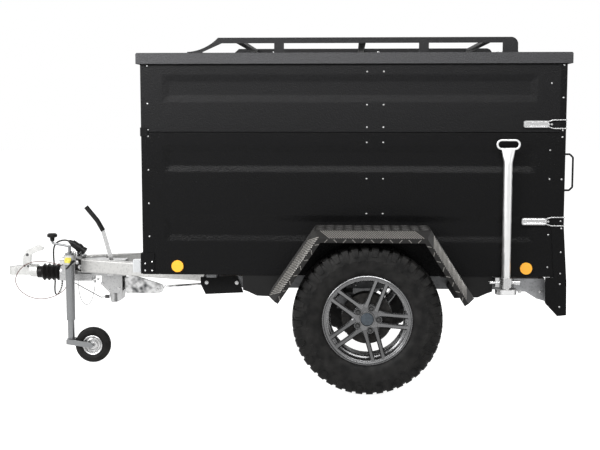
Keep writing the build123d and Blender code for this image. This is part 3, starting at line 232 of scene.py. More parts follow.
GALVANISED = galvanised("galvanised", (0.27, 0.27, 0.265), (0.42, 0.417, 0.407), 0.42)
SPANGLED = galvanised("spangled", (0.2, 0.204, 0.21), (0.38, 0.38, 0.38), 0.4, 110.0)
BRIGHT_ZINC = plated("bright_zinc", (0.46, 0.46, 0.46), 0.26)
CAST_ZINC = galvanised("cast_zinc", (0.36, 0.36, 0.35), (0.5, 0.5, 0.49), 0.4, 160.0)
WIRE_ZINC = plated("wire_zinc", (0.07, 0.07, 0.07), 0.42)
STAND_ZINC = plated("stand_zinc", (0.64, 0.64, 0.64), 0.36, 60.0)
TUBE_ZINC = plated("tube_zinc", (0.19, 0.194, 0.198), 0.32, 60.0)
GUNMETAL = plated("gunmetal", (0.135, 0.135, 0.137), 0.24, 120.0)
# These two are darker copies of the galvanised zinc: painted shade on the frame, the axle, the arms and the
# rail end plates under the box.
CHASSIS_ZINC_PAINTED_SHADE = galvanised("chassis_zinc_painted_shade", (0.07, 0.072, 0.075), (0.14, 0.142, 0.145), 0.45)
SHADED_ZINC = galvanised("shaded_zinc", (0.15, 0.153, 0.157), (0.27, 0.273, 0.28), 0.45)
print("metals ready")

# %% Rubber and plastics
TYRE_BLACK = new_finish("tyre_black", (0.012, 0.012, 0.012), 0.55, specular=0.1, grain=(300.0, 3.0, 0.0004),
                        mottle=(22.0, 6.0, (0.35, (0.005, 0.005, 0.005)), (0.7, (0.017, 0.0165, 0.016))))
RUBBER = new_finish("boot_rubber", (0.006, 0.0055, 0.0055), 0.4, specular=0.14, grain=(200.0, 2.0, 0.0003))
PLASTIC = new_finish("black_plastic", (0.008, 0.008, 0.008), 0.38, specular=0.14, grain=(500.0, 2.0, 0.00025))
CABLE_RED = new_finish("cable_sheath", (0.09, 0.035, 0.028), 0.5, specular=0.15,
                       mottle=(200.0, 1.0, (0.3, (0.055, 0.026, 0.022)), (0.7, (0.12, 0.042, 0.032))))
CABLE_BLACK = new_finish("cable_black", (0.006, 0.006, 0.006), 0.4, specular=0.12, grain=(400.0, 1.0, 0.0002))
print("rubber and plastics ready")

# %% [markdown]
# ## Cords
# Three cords hang at the drawbar: the black lighting cable, which loops forward from the parked
# plug and dives under the housing, the thin breakaway cable in its long loop, and a short bright
# safety wire. Each is a NURBS curve through listed control points, so it bends as one line.


# %% One cord
def cord(name, route, diameter, finish, node):
    """A free cord along its control points, which replaces its plain solid."""
    curve = bpy.data.curves.new(name, "CURVE")
    curve.dimensions = "3D"
    line = curve.splines.new("NURBS")
    line.points.add(len(route) - 1)
    for point, place in zip(line.points, route):
        point.co = (*at(*place), 1.0)
    line.order_u = 3
    line.use_endpoint_u = True
    line.resolution_u = 12
    curve.bevel_depth = diameter / 2
    curve.bevel_resolution = 4
    curve.use_fill_caps = True
    curve.materials.append(finish)
    piece = placed(name, curve)
    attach(piece, "trailer")
    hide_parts(node)
    return piece


# %% Routes and thicknesses of the three cords
CABLE_ROUTE = (
    (-1.703, -0.014, 0.438), (-1.703, -0.014, 0.402), (-1.730, -0.006, 0.353),
    (-1.752, 0.014, 0.350), (-1.762, 0.040, 0.380), (-1.764, 0.062, 0.424),
    (-1.768, 0.071, 0.474), (-1.769, 0.062, 0.526), (-1.765, 0.040, 0.578),
    (-1.752, 0.006, 0.622), (-1.726, -0.022, 0.652), (-1.690, -0.036, 0.665),
    (-1.656, -0.040, 0.664), (-1.634, -0.040, 0.649),
)
BREAKAWAY_ROUTE = (
    (-1.688, -0.050, 0.528), (-1.688, -0.068, 0.528), (-1.708, -0.078, 0.534),
    (-1.742, -0.078, 0.542), (-1.780, -0.062, 0.546), (-1.822, -0.074, 0.550),
    (-1.864, -0.083, 0.544), (-1.906, -0.089, 0.520), (-1.936, -0.092, 0.484),
    (-1.948, -0.093, 0.440), (-1.930, -0.092, 0.398), (-1.894, -0.090, 0.364),
    (-1.850, -0.087, 0.344), (-1.800, -0.082, 0.338), (-1.752, -0.075, 0.346),
    (-1.710, -0.066, 0.364), (-1.680, -0.052, 0.388), (-1.670, -0.044, 0.410),
    (-1.670, -0.044, 0.438),
)
WIRE_ROUTE = (
    (-1.605, -0.044, 0.438), (-1.604, -0.046, 0.396), (-1.592, -0.054, 0.342),
    (-1.568, -0.062, 0.306), (-1.541, -0.062, 0.306), (-1.522, -0.054, 0.342),
    (-1.512, -0.046, 0.392), (-1.509, -0.044, 0.430), (-1.509, -0.043, 0.468),
)
CABLE_THICK, BREAKAWAY_THICK, WIRE_THICK = 0.009, 0.004, 0.003
plug_cable = cord("lighting_cable", CABLE_ROUTE, CABLE_THICK, CABLE_BLACK, "plug_cable")
cord("breakaway_loop", BREAKAWAY_ROUTE, BREAKAWAY_THICK, CABLE_RED, "breakaway_cable")
cord("bright_wire", WIRE_ROUTE, WIRE_THICK, WIRE_ZINC, "safety_wire")

# %% [markdown]
# ## Floor and light
# A pale floor and a white surrounding let the black box read by its outline. A broad softbox over
# the camera's shoulder rakes the pressed grooves, so their lower slopes catch it while the flat
# sheet stays dark, and a strip on each side draws the edges of the steel. Three fills keep the far
# side and the two ends from going flat black.


# %% Floor
def seen_by(tree, *kinds):
    """1 for rays of any of these kinds, else 0."""
    rays = tree.nodes.new("ShaderNodeLightPath")
    seen = rays.outputs[kinds[0]]
    for kind in kinds[1:]:
        either = tree.nodes.new("ShaderNodeMath")
        either.operation = "MAXIMUM"
        tree.links.new(seen, either.inputs[0])
        tree.links.new(rays.outputs[kind], either.inputs[1])
        seen = either.outputs[0]
    return seen


def glowing(name, colour, strength):
    """A plain diffuse surface that the camera and the metal see as white."""
    material = bpy.data.materials.new(name)
    material.use_nodes = True
    tree, shader = material.node_tree, sockets(material)
    shader["Base Color"].default_value = (*colour, 1.0)
    shader["Roughness"].default_value = 0.9
    shader["Emission Color"].default_value = (1.0, 1.0, 1.0, 1.0)
    share = tree.nodes.new("ShaderNodeMath")
    share.operation = "MULTIPLY"
    share.inputs[1].default_value = strength
    tree.links.new(seen_by(tree, "Is Camera Ray", "Is Glossy Ray"), share.inputs[0])
    tree.links.new(share.outputs[0], shader["Emission Strength"])
    return material


FLOOR_SIZE = 60.0
FLOOR_GREY, FLOOR_GLOW = (0.42, 0.42, 0.42), 0.93
floor_mesh = bpy.data.meshes.new("floor")
corners = [(x * FLOOR_SIZE / 2, y * FLOOR_SIZE / 2, 0) for x, y in ((-1, -1), (1, -1), (1, 1), (-1, 1))]
floor_mesh.from_pydata(corners, [], [(0, 1, 2, 3)])
floor_mesh.materials.append(glowing("pale_floor", FLOOR_GREY, FLOOR_GLOW))
placed("floor", floor_mesh)
print("floor", FLOOR_SIZE, "m square")

# %% World and lamps
bpy.context.scene.view_settings.view_transform = "Standard"
WORLD_LIGHT = 0.3
world = bpy.data.worlds.new("studio")
bpy.context.scene.world = world
world.use_nodes = True
tree = world.node_tree
background = tree.nodes["Background"]
background.inputs["Color"].default_value = (1.0, 1.0, 1.0, 1.0)
strength = tree.nodes.new("ShaderNodeMapRange")
strength.inputs["To Min"].default_value = WORLD_LIGHT
strength.inputs["To Max"].default_value = 1.0
seen = seen_by(tree, "Is Camera Ray", "Is Glossy Ray", "Is Transmission Ray")
tree.links.new(seen, strength.inputs["Value"])
tree.links.new(strength.outputs["Result"], background.inputs["Strength"])


def softbox(name, place, aim, size, power):
    """A rectangular area lamp at a place that looks at another."""
    lamp = bpy.data.lights.new(name, "AREA")
    lamp.shape = "RECTANGLE"
    lamp.size, lamp.size_y = size
    lamp.energy = power
    holder = placed(name, lamp)
    holder.location = place
    holder.rotation_euler = (Vector(aim) - Vector(place)).to_track_quat("-Z", "Y").to_euler()


SOFTBOXES = (  # name, place, aim, width and height, watts
    ("overhead", (-0.3, -2.0, 2.3), (-0.1, -0.5, 1.25), (4.4, 0.5), 90),
    ("key", (-2.5, -2.7, 2.3), (-0.5, -0.5, 1.1), (1.4, 1.4), 85),
    ("rear_strip", (4.4, -2.0, 2.2), (0.3, 0.0, 0.8), (0.6, 2.4), 18),
    ("front_strip", (-4.6, -2.2, 2.0), (-0.8, 0.0, 0.7), (0.6, 2.4), 35),
    ("back_fill", (0.0, 5.0, 3.4), (0.0, 0.3, 0.9), (4.5, 1.2), 80),
    ("tail_fill", (4.6, 0.5, 2.2), (1.45, 0.1, 1.0), (1.6, 1.6), 90),
    ("nose_fill", (-4.9, 1.2, 2.3), (-0.7, 0.1, 1.1), (1.6, 1.6), 60),
)
for row in SOFTBOXES:
    softbox(*row)
print("world", WORLD_LIGHT, "with", len(SOFTBOXES), "softboxes")

# %% [markdown]
# ## Small tools for shaping
# Most of the trailer is folded sheet, bar, tube and turned parts, so a few shapes repeat: a skin
# over several rings, a turned profile, a bar along a line, and the heads of bolts and rivets. Each
# adds to an open bmesh, and `finished` turns the result into a piece.


# %% Skins, boxes and turned shapes
def skin(bm, rings, closed=True, looped=False):
    """Faces between neighbouring rings of points; looped joins the last ring to the first."""
    rows = [[bm.verts.new(point) for point in ring] for ring in rings]
    count = len(rows[0])
    for here, there in zip(rows, rows[1:] + rows[:1] if looped else rows[1:]):
        for i in range(count if closed else count - 1):
            j = (i + 1) % count
            bm.faces.new((here[i], here[j], there[j], there[i]))
    if not looped:
        bm.faces.new(rows[0][::-1])
        bm.faces.new(rows[-1])


def cuboid(bm, x, y, z):
    """A box between two values on each axis."""
    outline = ((x[0], z[0]), (x[1], z[0]), (x[1], z[1]), (x[0], z[1]))
    skin(bm, [[at(a, level, b) for a, b in outline] for level in y])


def facing(centre, direction):
    """A matrix that puts local +Z along a direction at a centre."""
    turn = Vector(direction).to_track_quat("Z", "Y").to_matrix().to_4x4()
    return Matrix.Translation(centre) @ turn


def around(place, radius, turn, height):
    """A point at a radius, a turn and a height about local +Z."""
    return place @ Vector((radius * cos(turn), radius * sin(turn), height))


def lathe(bm, profile, place, steps, looped=True):
    """A (radius, height) profile turned about local +Z; looped joins its ends into a ring."""
    rings = [[around(place, r, tau * step / steps, z) for r, z in profile] for step in range(steps)]
    skin(bm, rings, closed=looped, looped=True)


# %% A round bar along a line
def bar(bm, line, radius, sides=10, looped=False):
    """A round bar along points; radius is one value or one for each point."""
    line = [Vector(point) for point in line]
    radii = radius if hasattr(radius, "__len__") else [radius] * len(line)
    ahead = [(b - a).normalized() for a, b in zip(line, line[1:])]
    if looped:
        ahead.append((line[0] - line[-1]).normalized())
    tangents = [ahead[0] if not looped else (ahead[-1] + ahead[0]).normalized()]
    tangents += [(a + b).normalized() for a, b in zip(ahead, ahead[1:])]
    if not looped:
        tangents.append(ahead[-1])
    side = tangents[0].orthogonal().normalized()
    rings = []
    for point, tangent, r in zip(line, tangents, radii):
        side = (side - tangent * side.dot(tangent)).normalized()
        other = tangent.cross(side)
        rings.append([point + (side * cos(tau * k / sides) + other * sin(tau * k / sides)) * r
                      for k in range(sides)])
    skin(bm, rings, looped=looped)


# %% Heads of bolts and rivets
def bolt(bm, centre, direction, radius, height):
    """A hexagon head on its washer."""
    place = facing(centre, direction)
    washer = 1.35 * radius
    lathe(bm, ((0.0005, 0), (washer, 0), (washer, 0.0015), (0.0005, 0.0015)), place, 16)
    lathe(bm, ((0.0005, 0.001), (radius, 0.001), (radius, height * 0.8), (radius * 0.8, height),
               (0.0005, height)), place, 6)


def rivet(bm, centre, direction, radius):
    """A low domed head."""
    dome = [(radius * cos(k * pi / 8), 0.55 * radius * sin(k * pi / 8)) for k in range(4)]
    lathe(bm, [*dome, (0.0004, 0.55 * radius), (0.0004, 0.0)], facing(centre, direction), 12)


def mirrored(head, bm, spots, direction, *sizes):
    """The same bolts or rivets on both sides of the trailer, from spots on its right."""
    for side, _ in SIDES:
        for x, y, z in spots:
            head(bm, at(x, side * y, z), (direction[0], side * direction[1], direction[2]), *sizes)


OUTWARD, DOWN, UP = (0, 1, 0), (0, 0, -1), (0, 0, 1)
SUNK = 0.0004

# %% From bmesh to a piece that rides
def finished(name, bm, finish, body="trailer", bevel=0.0, sharp=35, replaces=""):
    """The bmesh as a named piece on its body, with its finish."""
    bmesh.ops.recalc_face_normals(bm, faces=bm.faces)
    mesh = bpy.data.meshes.new(name)
    bm.to_mesh(mesh)
    bm.free()
    mesh.materials.append(finish)
    mesh.shade_smooth()
    thing = placed(name, mesh)
    if bevel:
        edge = thing.modifiers.new("edges", "BEVEL")
        edge.width = bevel
        edge.segments = 2
        edge.limit_method = "ANGLE"
        edge.harden_normals = True
    else:
        mesh.set_sharp_from_angle(angle=radians(sharp))
    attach(thing, body)
    if replaces:
        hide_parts(replaces)
    print(name, "faces", len(mesh.polygons))


# %% [markdown]
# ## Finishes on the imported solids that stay
# Many solids already have their final shape, so they only take a finish: powder coat on the box and
# its fittings, hot-dip zinc on the chassis, bright plate on the small hardware, rubber and moulded
# plastic at the drawbar. The few lenses are clear plastic over a patterned reflector.


# %% Finishes that only these solids use
def lens(name, colour, deep, cells=230.0):
    """Moulded lamp plastic over a prismatic reflector."""
    material = new_finish(name, colour, 0.16, specular=0.6)
    toned(material, noise(material, cells, kind="ShaderNodeTexVoronoi"), [(0.0, deep), (0.5, colour)])
    bumped(material, noise(material, cells, kind="ShaderNodeTexVoronoi"), 0.0006)
    return material


AMBER = lens("amber_lens", (0.95, 0.42, 0.02), (0.8, 0.27, 0.01))
RED_LENS = lens("red_lens", (0.42, 0.012, 0.01), (0.2, 0.004, 0.004))
CLEAR_LENS = lens("clear_lens", (0.45, 0.46, 0.47), (0.2, 0.21, 0.22))
PLYWOOD = new_finish("floor_film", (0.05, 0.03, 0.02), 0.55, specular=0.3,
                     mottle=(40.0, 4.0, (0.3, (0.035, 0.02, 0.013)), (0.7, (0.062, 0.04, 0.027))))
bumped(PLYWOOD, noise(PLYWOOD, 350.0, kind="ShaderNodeTexVoronoi"), 0.0005)
CAST_IRON = new_finish("cast_iron", (0.02, 0.019, 0.018), 0.6, metallic=0.3, specular=0.2,
                       mottle=(60.0, 4.0, (0.3, (0.008, 0.0078, 0.0075)), (0.75, (0.03, 0.028, 0.026))),
                       grain=(260.0, 3.0, 0.0006))
STREAKED = plated("streaked_plate", (0.4, 0.4, 0.4), 0.2, 40.0)
STREAKS = [(0.34, (0.06, 0.062, 0.065)), (0.5, (0.3, 0.3, 0.3)), (0.62, (0.5, 0.5, 0.5))]
toned(STREAKED, noise(STREAKED, 26.0, 1.0), STREAKS)
print("lenses, floor film, cast iron and streaked plate ready")

# %% Which finish each solid takes
CARRIED = (
    (HOOD_BLACK_PAINTED_LIGHT, "lid"),
    (UPPER_BLACK_PAINTED_LIGHT, "rear_flap"),
    (WALL_BLACK_PAINTED_SHADE, "rear_posts", "tailgate"),
    (RACK_BLACK, "rack_rails", "rack_bars", "tailgate_handles"),
    (BRACKET_BLACK, "hinge_brackets", "corner_brackets", "rail_shoes", "lamp_carriers"),
    (CHASSIS_ZINC_PAINTED_SHADE, "frame_rails", "cross_members", "axle_beam", "suspension_arms"),
    (SHADED_ZINC, "rail_end_plates"),
    (GALVANISED, "drawbar_beams"),
    (SPANGLED, "overrun_housing", "lever_bracket"),
    (CAST_ZINC, "coupling_head", "coupling_handle", "jockey_clamp"),
    (BRIGHT_ZINC, "brake_lever", "latches", "prop_clamps"),
    (STREAKED, "brake_linkage"),
    (TUBE_ZINC, "jockey_outer_tube", "jockey_inner_tube", "jockey_fork"),
    (STAND_ZINC, "prop_stand_left", "prop_stand_right"),
    (RUBBER, "bellows", "jockey_tyre"),
    (PLASTIC, "plug", "plug_holder", "grips", "wheel_chocks"),
    (CAST_IRON, "drum_left", "drum_right"),
    (AMBER, "side_reflectors"),
    (CLEAR_LENS, "marker_lamps"),
    (RED_LENS, "tail_lamps"),
    (PLYWOOD, "floor_panel"),
)
for finish, *names in CARRIED:
    for node in names:
        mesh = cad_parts[node].data
        mesh.materials.clear()
        mesh.materials.append(finish)
print("finishes on", sum(len(row) - 1 for row in CARRIED), "solids")

# %% [markdown]
# ## Pressed walls
# Each wall level is one steel sheet with a long groove pressed inwards. The groove's slopes are
# short and its corners are soft, and those soft corners are what the light finds. A grid whose
# lines crowd at the slopes gives that with few faces: its depth is the product of two ramps.

# %% Measures of the pressed grooves
LEVEL = 0.350
GROOVE_DEEP, GROOVE_SLOPE, GROOVE_FLAT = 0.010, 0.033, 0.068
GROOVE_END, GROOVE_TOP = 0.110, 0.065
SOFT = 0.006
SEAM = 0.003
SHEET_BACK = 0.02


def ramp(t):
    """0 below 0 and 1 above 1, straight between, with softened ends."""
    soft = SOFT / GROOVE_SLOPE
    if t <= -soft:
        return 0.0
    if t < soft:
        return (t + soft) ** 2 / (4 * soft)
    if t > 1 + soft:
        return 1.0
    if t > 1 - soft:
        return 1 - (1 + soft - t) ** 2 / (4 * soft)
    return t


RAMP_LINES = (-0.19, -0.09, 0.0, 0.1, 0.2, 0.5, 0.8, 0.9, 1.0, 1.09, 1.19)


def slope_lines(start, end):
    """Grid lines across one slope."""
    return [start + (end - start) * t for t in RAMP_LINES]


def groove_depth(u, v, length, tops):
    """How far the sheet is pressed in at a place on its face."""
    along = min(ramp((u - GROOVE_END) / GROOVE_SLOPE), ramp((length - GROOVE_END - u) / GROOVE_SLOPE))
    depth = 0.0
    for top in tops:
        below = (top - v) / GROOVE_SLOPE
        above = (v - top + GROOVE_FLAT + 2 * GROOVE_SLOPE) / GROOVE_SLOPE
        depth = max(depth, min(ramp(below), ramp(above)))
    return GROOVE_DEEP * min(along, depth) * (0.5 + 0.5 * max(along, depth))


# %% One pressed sheet
def pressed_sheet(name, node, finish, outward, tops, seam=0.0):
    """A wall of the node's own size, with grooves whose upper edges lie at heights tops."""
    low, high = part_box(node)
    outward = Vector(outward)
    along = Vector((0, 1, 0)) if outward.x else Vector((1, 0, 0))
    start = Vector((low.x, high.y if outward.y > 0 else low.y, 0))
    length = (high - low).dot(along)
    across = [0.0, *slope_lines(GROOVE_END, GROOVE_END + GROOVE_SLOPE)]
    across += [length - u for u in reversed(across)]
    up = [low.z + seam]
    for top in sorted(tops):
        bottom = top - GROOVE_FLAT - 2 * GROOVE_SLOPE
        up += slope_lines(bottom, bottom + GROOVE_SLOPE)
        up += slope_lines(top - GROOVE_SLOPE, top)
    up.append(high.z)
    bm = bmesh.new()

    def spot(u, v, inward):
        return bm.verts.new(start + along * u + Vector((0, 0, v)) - outward * inward)

    front = [[spot(u, v, groove_depth(u, v, length, tops)) for u in across] for v in up]
    back = [[spot(u, v, SHEET_BACK) for u in (0.0, length)] for v in (low.z, high.z)]
    for row, above in zip(front, front[1:]):
        for i in range(len(across) - 1):
            bm.faces.new((row[i], row[i + 1], above[i + 1], above[i]))
    bm.faces.new((back[0][0], back[0][1], back[1][1], back[1][0]))
    bm.faces.new((*front[0], back[0][1], back[0][0]))
    bm.faces.new((*front[-1], back[1][1], back[1][0]))
    bm.faces.new((*[row[0] for row in front], back[1][0], back[0][0]))
    bm.faces.new((*[row[-1] for row in front], back[1][1], back[0][1]))
    finished(name, bm, finish, sharp=50, replaces=node)


# %% The six pressed panels
floor_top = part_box("floor_panel")[1].z
wall_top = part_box("upper_side_wall_left")[1].z
LOWER_TOPS = [floor_top + LEVEL - GROOVE_TOP, floor_top + 2 * LEVEL - GROOVE_TOP]
UPPER_TOPS = [wall_top - GROOVE_TOP]
WALLS = [(f"{{}}_sheet_{word}", f"side_wall_{word}", (0, side, 0)) for side, word in SIDES]
WALLS.append(("{}_front_sheet", "front_wall", (-1, 0, 0)))
for name, node, outward in WALLS:
    pressed_sheet(name.format("lower"), node, WALL_BLACK_PAINTED_SHADE, outward, LOWER_TOPS)
    pressed_sheet(name.format("upper"), "upper_" + node, UPPER_BLACK_PAINTED_LIGHT, outward, UPPER_TOPS, SEAM)

# %% [markdown]
# ## Road wheels
# The rim is one turned barrel with a stepped mouth, and five pairs of parallel spokes that climb
# from the hub to the rim's outer edge. Each spoke is a skin over a row of six-cornered sections, so
# it has the chamfers that make its bright edge lines. The tyre is a turned carcass with every
# tread block as its own small prism: turned rings alone would look like a slick.


# %% Wheel places
WHEEL_R = (tyre_high.z - tyre_low.z) / 2
WHEEL_HALF = (tyre_high.y - tyre_low.y) / 2
WHEEL_OUT = -(tyre_low.y + tyre_high.y) / 2


def wheel_place(side):
    """Local x and y in the wheel's plane and +Z out of the trailer, at one wheel's centre."""
    x_dir, out = Vector((-side, 0, 0)), Vector((0, side, 0))
    turn = Matrix((x_dir, Vector((0, 0, 1)), out)).transposed().to_4x4()
    return Matrix.Translation(at(0, side * WHEEL_OUT, WHEEL_R)) @ turn


print("wheel radius", round(WHEEL_R, 3), "half width", round(WHEEL_HALF, 3))

# %% The rim's profile and its spokes
FLANGE_R, BEAD_R, RIM_HALF = 0.221, 0.203, 0.089
HUB_FACE = 0.020
SPOKE_PAIRS, SPOKE_APART, SPOKE_TILT = 5, 0.027, radians(-2)
BOLT_SHIFT = Matrix.Translation((0.056, 0, 0))
RIM_PROFILE = (
    (FLANGE_R, RIM_HALF - 0.009), (FLANGE_R + 0.0004, RIM_HALF - 0.002), (FLANGE_R - 0.003, RIM_HALF),
    (FLANGE_R - 0.007, RIM_HALF - 0.001), (FLANGE_R - 0.010, RIM_HALF - 0.007),
    (0.199, RIM_HALF - 0.014), (0.196, RIM_HALF - 0.024), (0.1955, 0.030), (0.189, 0.026),
    (0.187, 0.010), (0.183, 0.006), (0.183, -0.060), (0.196, -0.078), (FLANGE_R - 0.008, -RIM_HALF),
    (FLANGE_R, -RIM_HALF), (FLANGE_R, -RIM_HALF + 0.009), (BEAD_R, -RIM_HALF + 0.009),
    (BEAD_R, RIM_HALF - 0.009),
)
SPOKE_STATIONS = (  # radius, height of the face over the wheel's middle, width, depth
    (0.052, 0.040, 0.034, 0.022), (0.070, 0.043, 0.029, 0.023), (0.100, 0.051, 0.0245, 0.023),
    (0.140, 0.061, 0.0225, 0.022), (0.175, 0.069, 0.023, 0.021), (0.192, 0.074, 0.025, 0.020),
    (0.204, 0.079, 0.028, 0.018),
)


def spoke(bm, place, apart):
    """One spoke beside the middle of its pair, as sections from hub to rim."""
    rings = []
    for radius, face, wide, deep in SPOKE_STATIONS:
        half, flat = wide / 2, wide * 0.27
        section = ((-half * 0.86, face - deep), (-half, face - deep * 0.32), (-flat, face),
                   (flat, face), (half, face - deep * 0.32), (half * 0.86, face - deep))
        rings.append([place @ Vector((radius, apart + y, z)) for y, z in section])
    skin(bm, rings)


# %% Hub, bolt wells and the whole rim
HUB = ((0.0005, HUB_FACE), (0.078, HUB_FACE), (0.078, 0.030), (0.072, 0.036), (0.040, 0.0395),
       (0.038, 0.046), (0.0335, 0.047), (0.032, 0.043), (0.0005, 0.043))
WELL = ((0.0145, 0.036), (0.018, 0.036), (0.0165, 0.0425), (0.0145, 0.0425))


def pair_turns(place):
    """The wheel's place, turned to each pair of spokes."""
    return [place @ Matrix.Rotation(SPOKE_TILT + tau * pair / SPOKE_PAIRS, 4, "Z")
            for pair in range(SPOKE_PAIRS)]


def rim(side, word):
    """The alloy rim with its hub, spokes and bolt wells."""
    bm = bmesh.new()
    place = wheel_place(side)
    lathe(bm, RIM_PROFILE, place, 96)
    lathe(bm, HUB, place, 48)
    for turned in pair_turns(place):
        for apart in (-SPOKE_APART, SPOKE_APART):
            spoke(bm, turned, apart)
        lathe(bm, WELL, turned @ BOLT_SHIFT, 20)
    finished("alloy_rim_" + word, bm, GUNMETAL, "wheel_" + word, sharp=28,
             replaces="rim_" + word)


for side, word in SIDES:
    rim(side, word)

# %% Wheel bolts, centre cap and valve
# The wells' floors are painted near black: painted shade in the bolt recesses of the rim.
WELL_PAINTED_SHADE = new_finish("bolt_well_painted_shade", (0.012, 0.012, 0.012), 0.5, grain=(300.0, 2.0, 0.0002))
CAP_BLUE = new_finish("cap_blue_grey", (0.035, 0.045, 0.055), 0.38, metallic=0.3,
                      mottle=(120.0, 2.0, (0.3, (0.028, 0.037, 0.046)), (0.7, (0.05, 0.062, 0.075))))
BOLT_STEEL = plated("bolt_steel", (0.08, 0.08, 0.08), 0.3)
WELL_FLOOR = ((0.0005, 0.0375), (0.0148, 0.0375), (0.0148, 0.040), (0.0005, 0.040))
WHEEL_BOLT = ((0.0005, 0.040), (0.0098, 0.040), (0.0092, 0.049), (0.007, 0.0515),
              (0.0045, 0.0515), (0.0035, 0.0485), (0.0005, 0.0485))
CAP = ((0.0005, 0.043), (0.0315, 0.043), (0.0312, 0.047), (0.029, 0.0495), (0.019, 0.0508), (0.0005, 0.0512))
VALVE, VALVE_TURN = ((0.199, 0.050), (0.188, 0.062), (0.182, 0.074)), radians(108)


def wheel_trim(side, word):
    """Five bolts in wells whose floors carry painted shade, a plain cap and the valve."""
    place = wheel_place(side)
    wells, bolts, cap = bmesh.new(), bmesh.new(), bmesh.new()
    for turned in pair_turns(place):
        lathe(wells, WELL_FLOOR, turned @ BOLT_SHIFT, 20)
        lathe(bolts, WHEEL_BOLT, turned @ BOLT_SHIFT, 6)
    lathe(cap, CAP, place, 40)
    bar(bolts, [around(place, r, VALVE_TURN, z) for r, z in VALVE], (0.005, 0.004, 0.0035), 10)
    finished("wheel_well_painted_shade_" + word, wells, WELL_PAINTED_SHADE, "wheel_" + word)
    finished("wheel_bolts_" + word, bolts, BOLT_STEEL, "wheel_" + word)
    finished("wheel_cap_" + word, cap, CAP_BLUE, "wheel_" + word)


for side, word in SIDES:
    wheel_trim(side, word)

# %% The tyre's carcass and its tread blocks
LUGS = 44
LUG_TURN = tau / LUGS
LUG_REACH = (0.050, 0.066)
BLOCK_DEEP = 0.012
TREAD_HALF = 0.086
GROOVE_R = WHEEL_R - 0.011
CARCASS = (
    (BEAD_R + 0.001, 0.079), (0.2185, 0.0805), (0.226, 0.090), (0.236, 0.0985), (0.250, 0.1045),
    (0.272, 0.1095), (0.294, 0.1108), (0.300, 0.1122), (0.3045, 0.1108), (0.320, 0.1085),
    (0.337, 0.1030), (0.350, 0.0940), (GROOVE_R, 0.0800), (GROOVE_R, 0.0),
)


def tread_radius(across, under=0.0):
    """The crown's radius at a distance from the tyre's middle."""
    return WHEEL_R - under - 0.004 * (across / TREAD_HALF) ** 2


def tread_block(bm, place, middle, corners):
    """A tread block from its (turn along the tread in metres, across) corners."""
    rings = []
    for under, grow in ((BLOCK_DEEP, 0.0012), (0.0015, 0.0), (0.0, -0.0016)):
        rings.append([around(place, tread_radius(across, under),
                             middle + (along + (grow if along > 0 else -grow)) / WHEEL_R, across)
                      for along, across in corners])
    skin(bm, rings)


def shoulder_lug(bm, place, middle, side, reach):
    """A lug that runs over the tread's edge and down the side wall to a radius."""
    outer = ((tread_radius(0.056), 0.056), (tread_radius(0.084), 0.084), (WHEEL_R - 0.010, 0.0985),
             (WHEEL_R - 0.024, 0.1065), (reach, 0.1125))
    inner = ((GROOVE_R - 0.001, 0.056), (GROOVE_R - 0.002, 0.080), (WHEEL_R - 0.021, 0.0935),
             (WHEEL_R - 0.033, 0.1015), (reach, 0.1060))
    half = (0.0165, 0.0180, 0.0185, 0.0175, 0.0150)
    rings = []
    for (r_out, z_out), (r_in, z_in), h in zip(outer, inner, half):
        section = ((r_in, z_in, -h), (r_out, z_out, -h + 0.0015), (r_out, z_out, h - 0.0015), (r_in, z_in, h))
        rings.append([around(place, r, middle + turn / WHEEL_R, side * z) for r, z, turn in section])
    skin(bm, rings)


# %% Centre blocks, side ribs and the whole tyre
CENTRE_BLOCKS = (  # share of a lug's turn, corners
    (0.0, ((-0.017, -0.012), (-0.004, -0.016), (0.015, -0.010),
           (0.017, 0.012), (0.004, 0.016), (-0.015, 0.010))),
    (0.5, ((-0.016, 0.021), (0.003, 0.019), (0.018, 0.026),
           (0.014, 0.047), (-0.006, 0.049), (-0.018, 0.040))),
    (0.5, ((-0.018, -0.040), (-0.006, -0.049), (0.014, -0.047),
           (0.018, -0.026), (0.003, -0.019), (-0.016, -0.021))),
)
WALL_RIB = ((0.288, 0.1112), (0.297, 0.1128), (0.301, 0.1112))
RIB_HALF = 0.0085


def wall_rib(bm, place, middle, side):
    """A low rib on the side wall, between the lugs' ends and the bead."""
    rings = []
    for radius, height in WALL_RIB:
        foot, crown = RIB_HALF / radius, RIB_HALF * 0.8 / radius
        section = ((-foot, -0.0012), (foot, -0.0012), (crown, 0.0004), (-crown, 0.0004))
        rings.append([around(place, radius, middle + turn, side * (height + lift)) for turn, lift in section])
    skin(bm, rings)


def tyre(side, word):
    """The all-terrain tyre: carcass, centre blocks, and long and short shoulder lugs."""
    bm = bmesh.new()
    place = wheel_place(side)
    lathe(bm, [*CARCASS, *[(r, -z) for r, z in reversed(CARCASS[:-1])]], place, 132)
    for lug in range(LUGS):
        middle = LUG_TURN * lug
        for share, corners in CENTRE_BLOCKS:
            tread_block(bm, place, middle + share * LUG_TURN, corners)
        for edge, shift in ((-1, 0.0), (1, 0.25)):
            shoulder_lug(bm, place, middle + shift * LUG_TURN, edge, WHEEL_R - LUG_REACH[lug % 2])
            wall_rib(bm, place, middle, edge)
    finished("tyre_dressed_" + word, bm, TYRE_BLACK, "wheel_" + word, sharp=30,
             replaces="tyre_" + word)


for side, word in SIDES:
    tyre(side, word)

# %% [markdown]
# ## Fenders
# Each fender is one folded sheet of five-bar tread plate: a wide flat top, a narrow fold that
# slopes down and outwards, and an upright lip. The bars are real raised bars here, five to a group
# with each group turned against its neighbours, because it is their edges that glitter. On the
# narrow fold the pattern is a fine hatch. The bars of the fold and the lip are painted much lighter
# than the sheet, a painted highlight, and those of the top a little lighter, a fainter one.


# %% Fender lines from the imported sheet
def tread_finish(name, dark, light, roughness, crystals, metallic):
    """Painted tread plate: a zinc finish with less metal in it."""
    material = galvanised(name, dark, light, roughness, crystals)
    sockets(material)["Metallic"].default_value = metallic
    return material


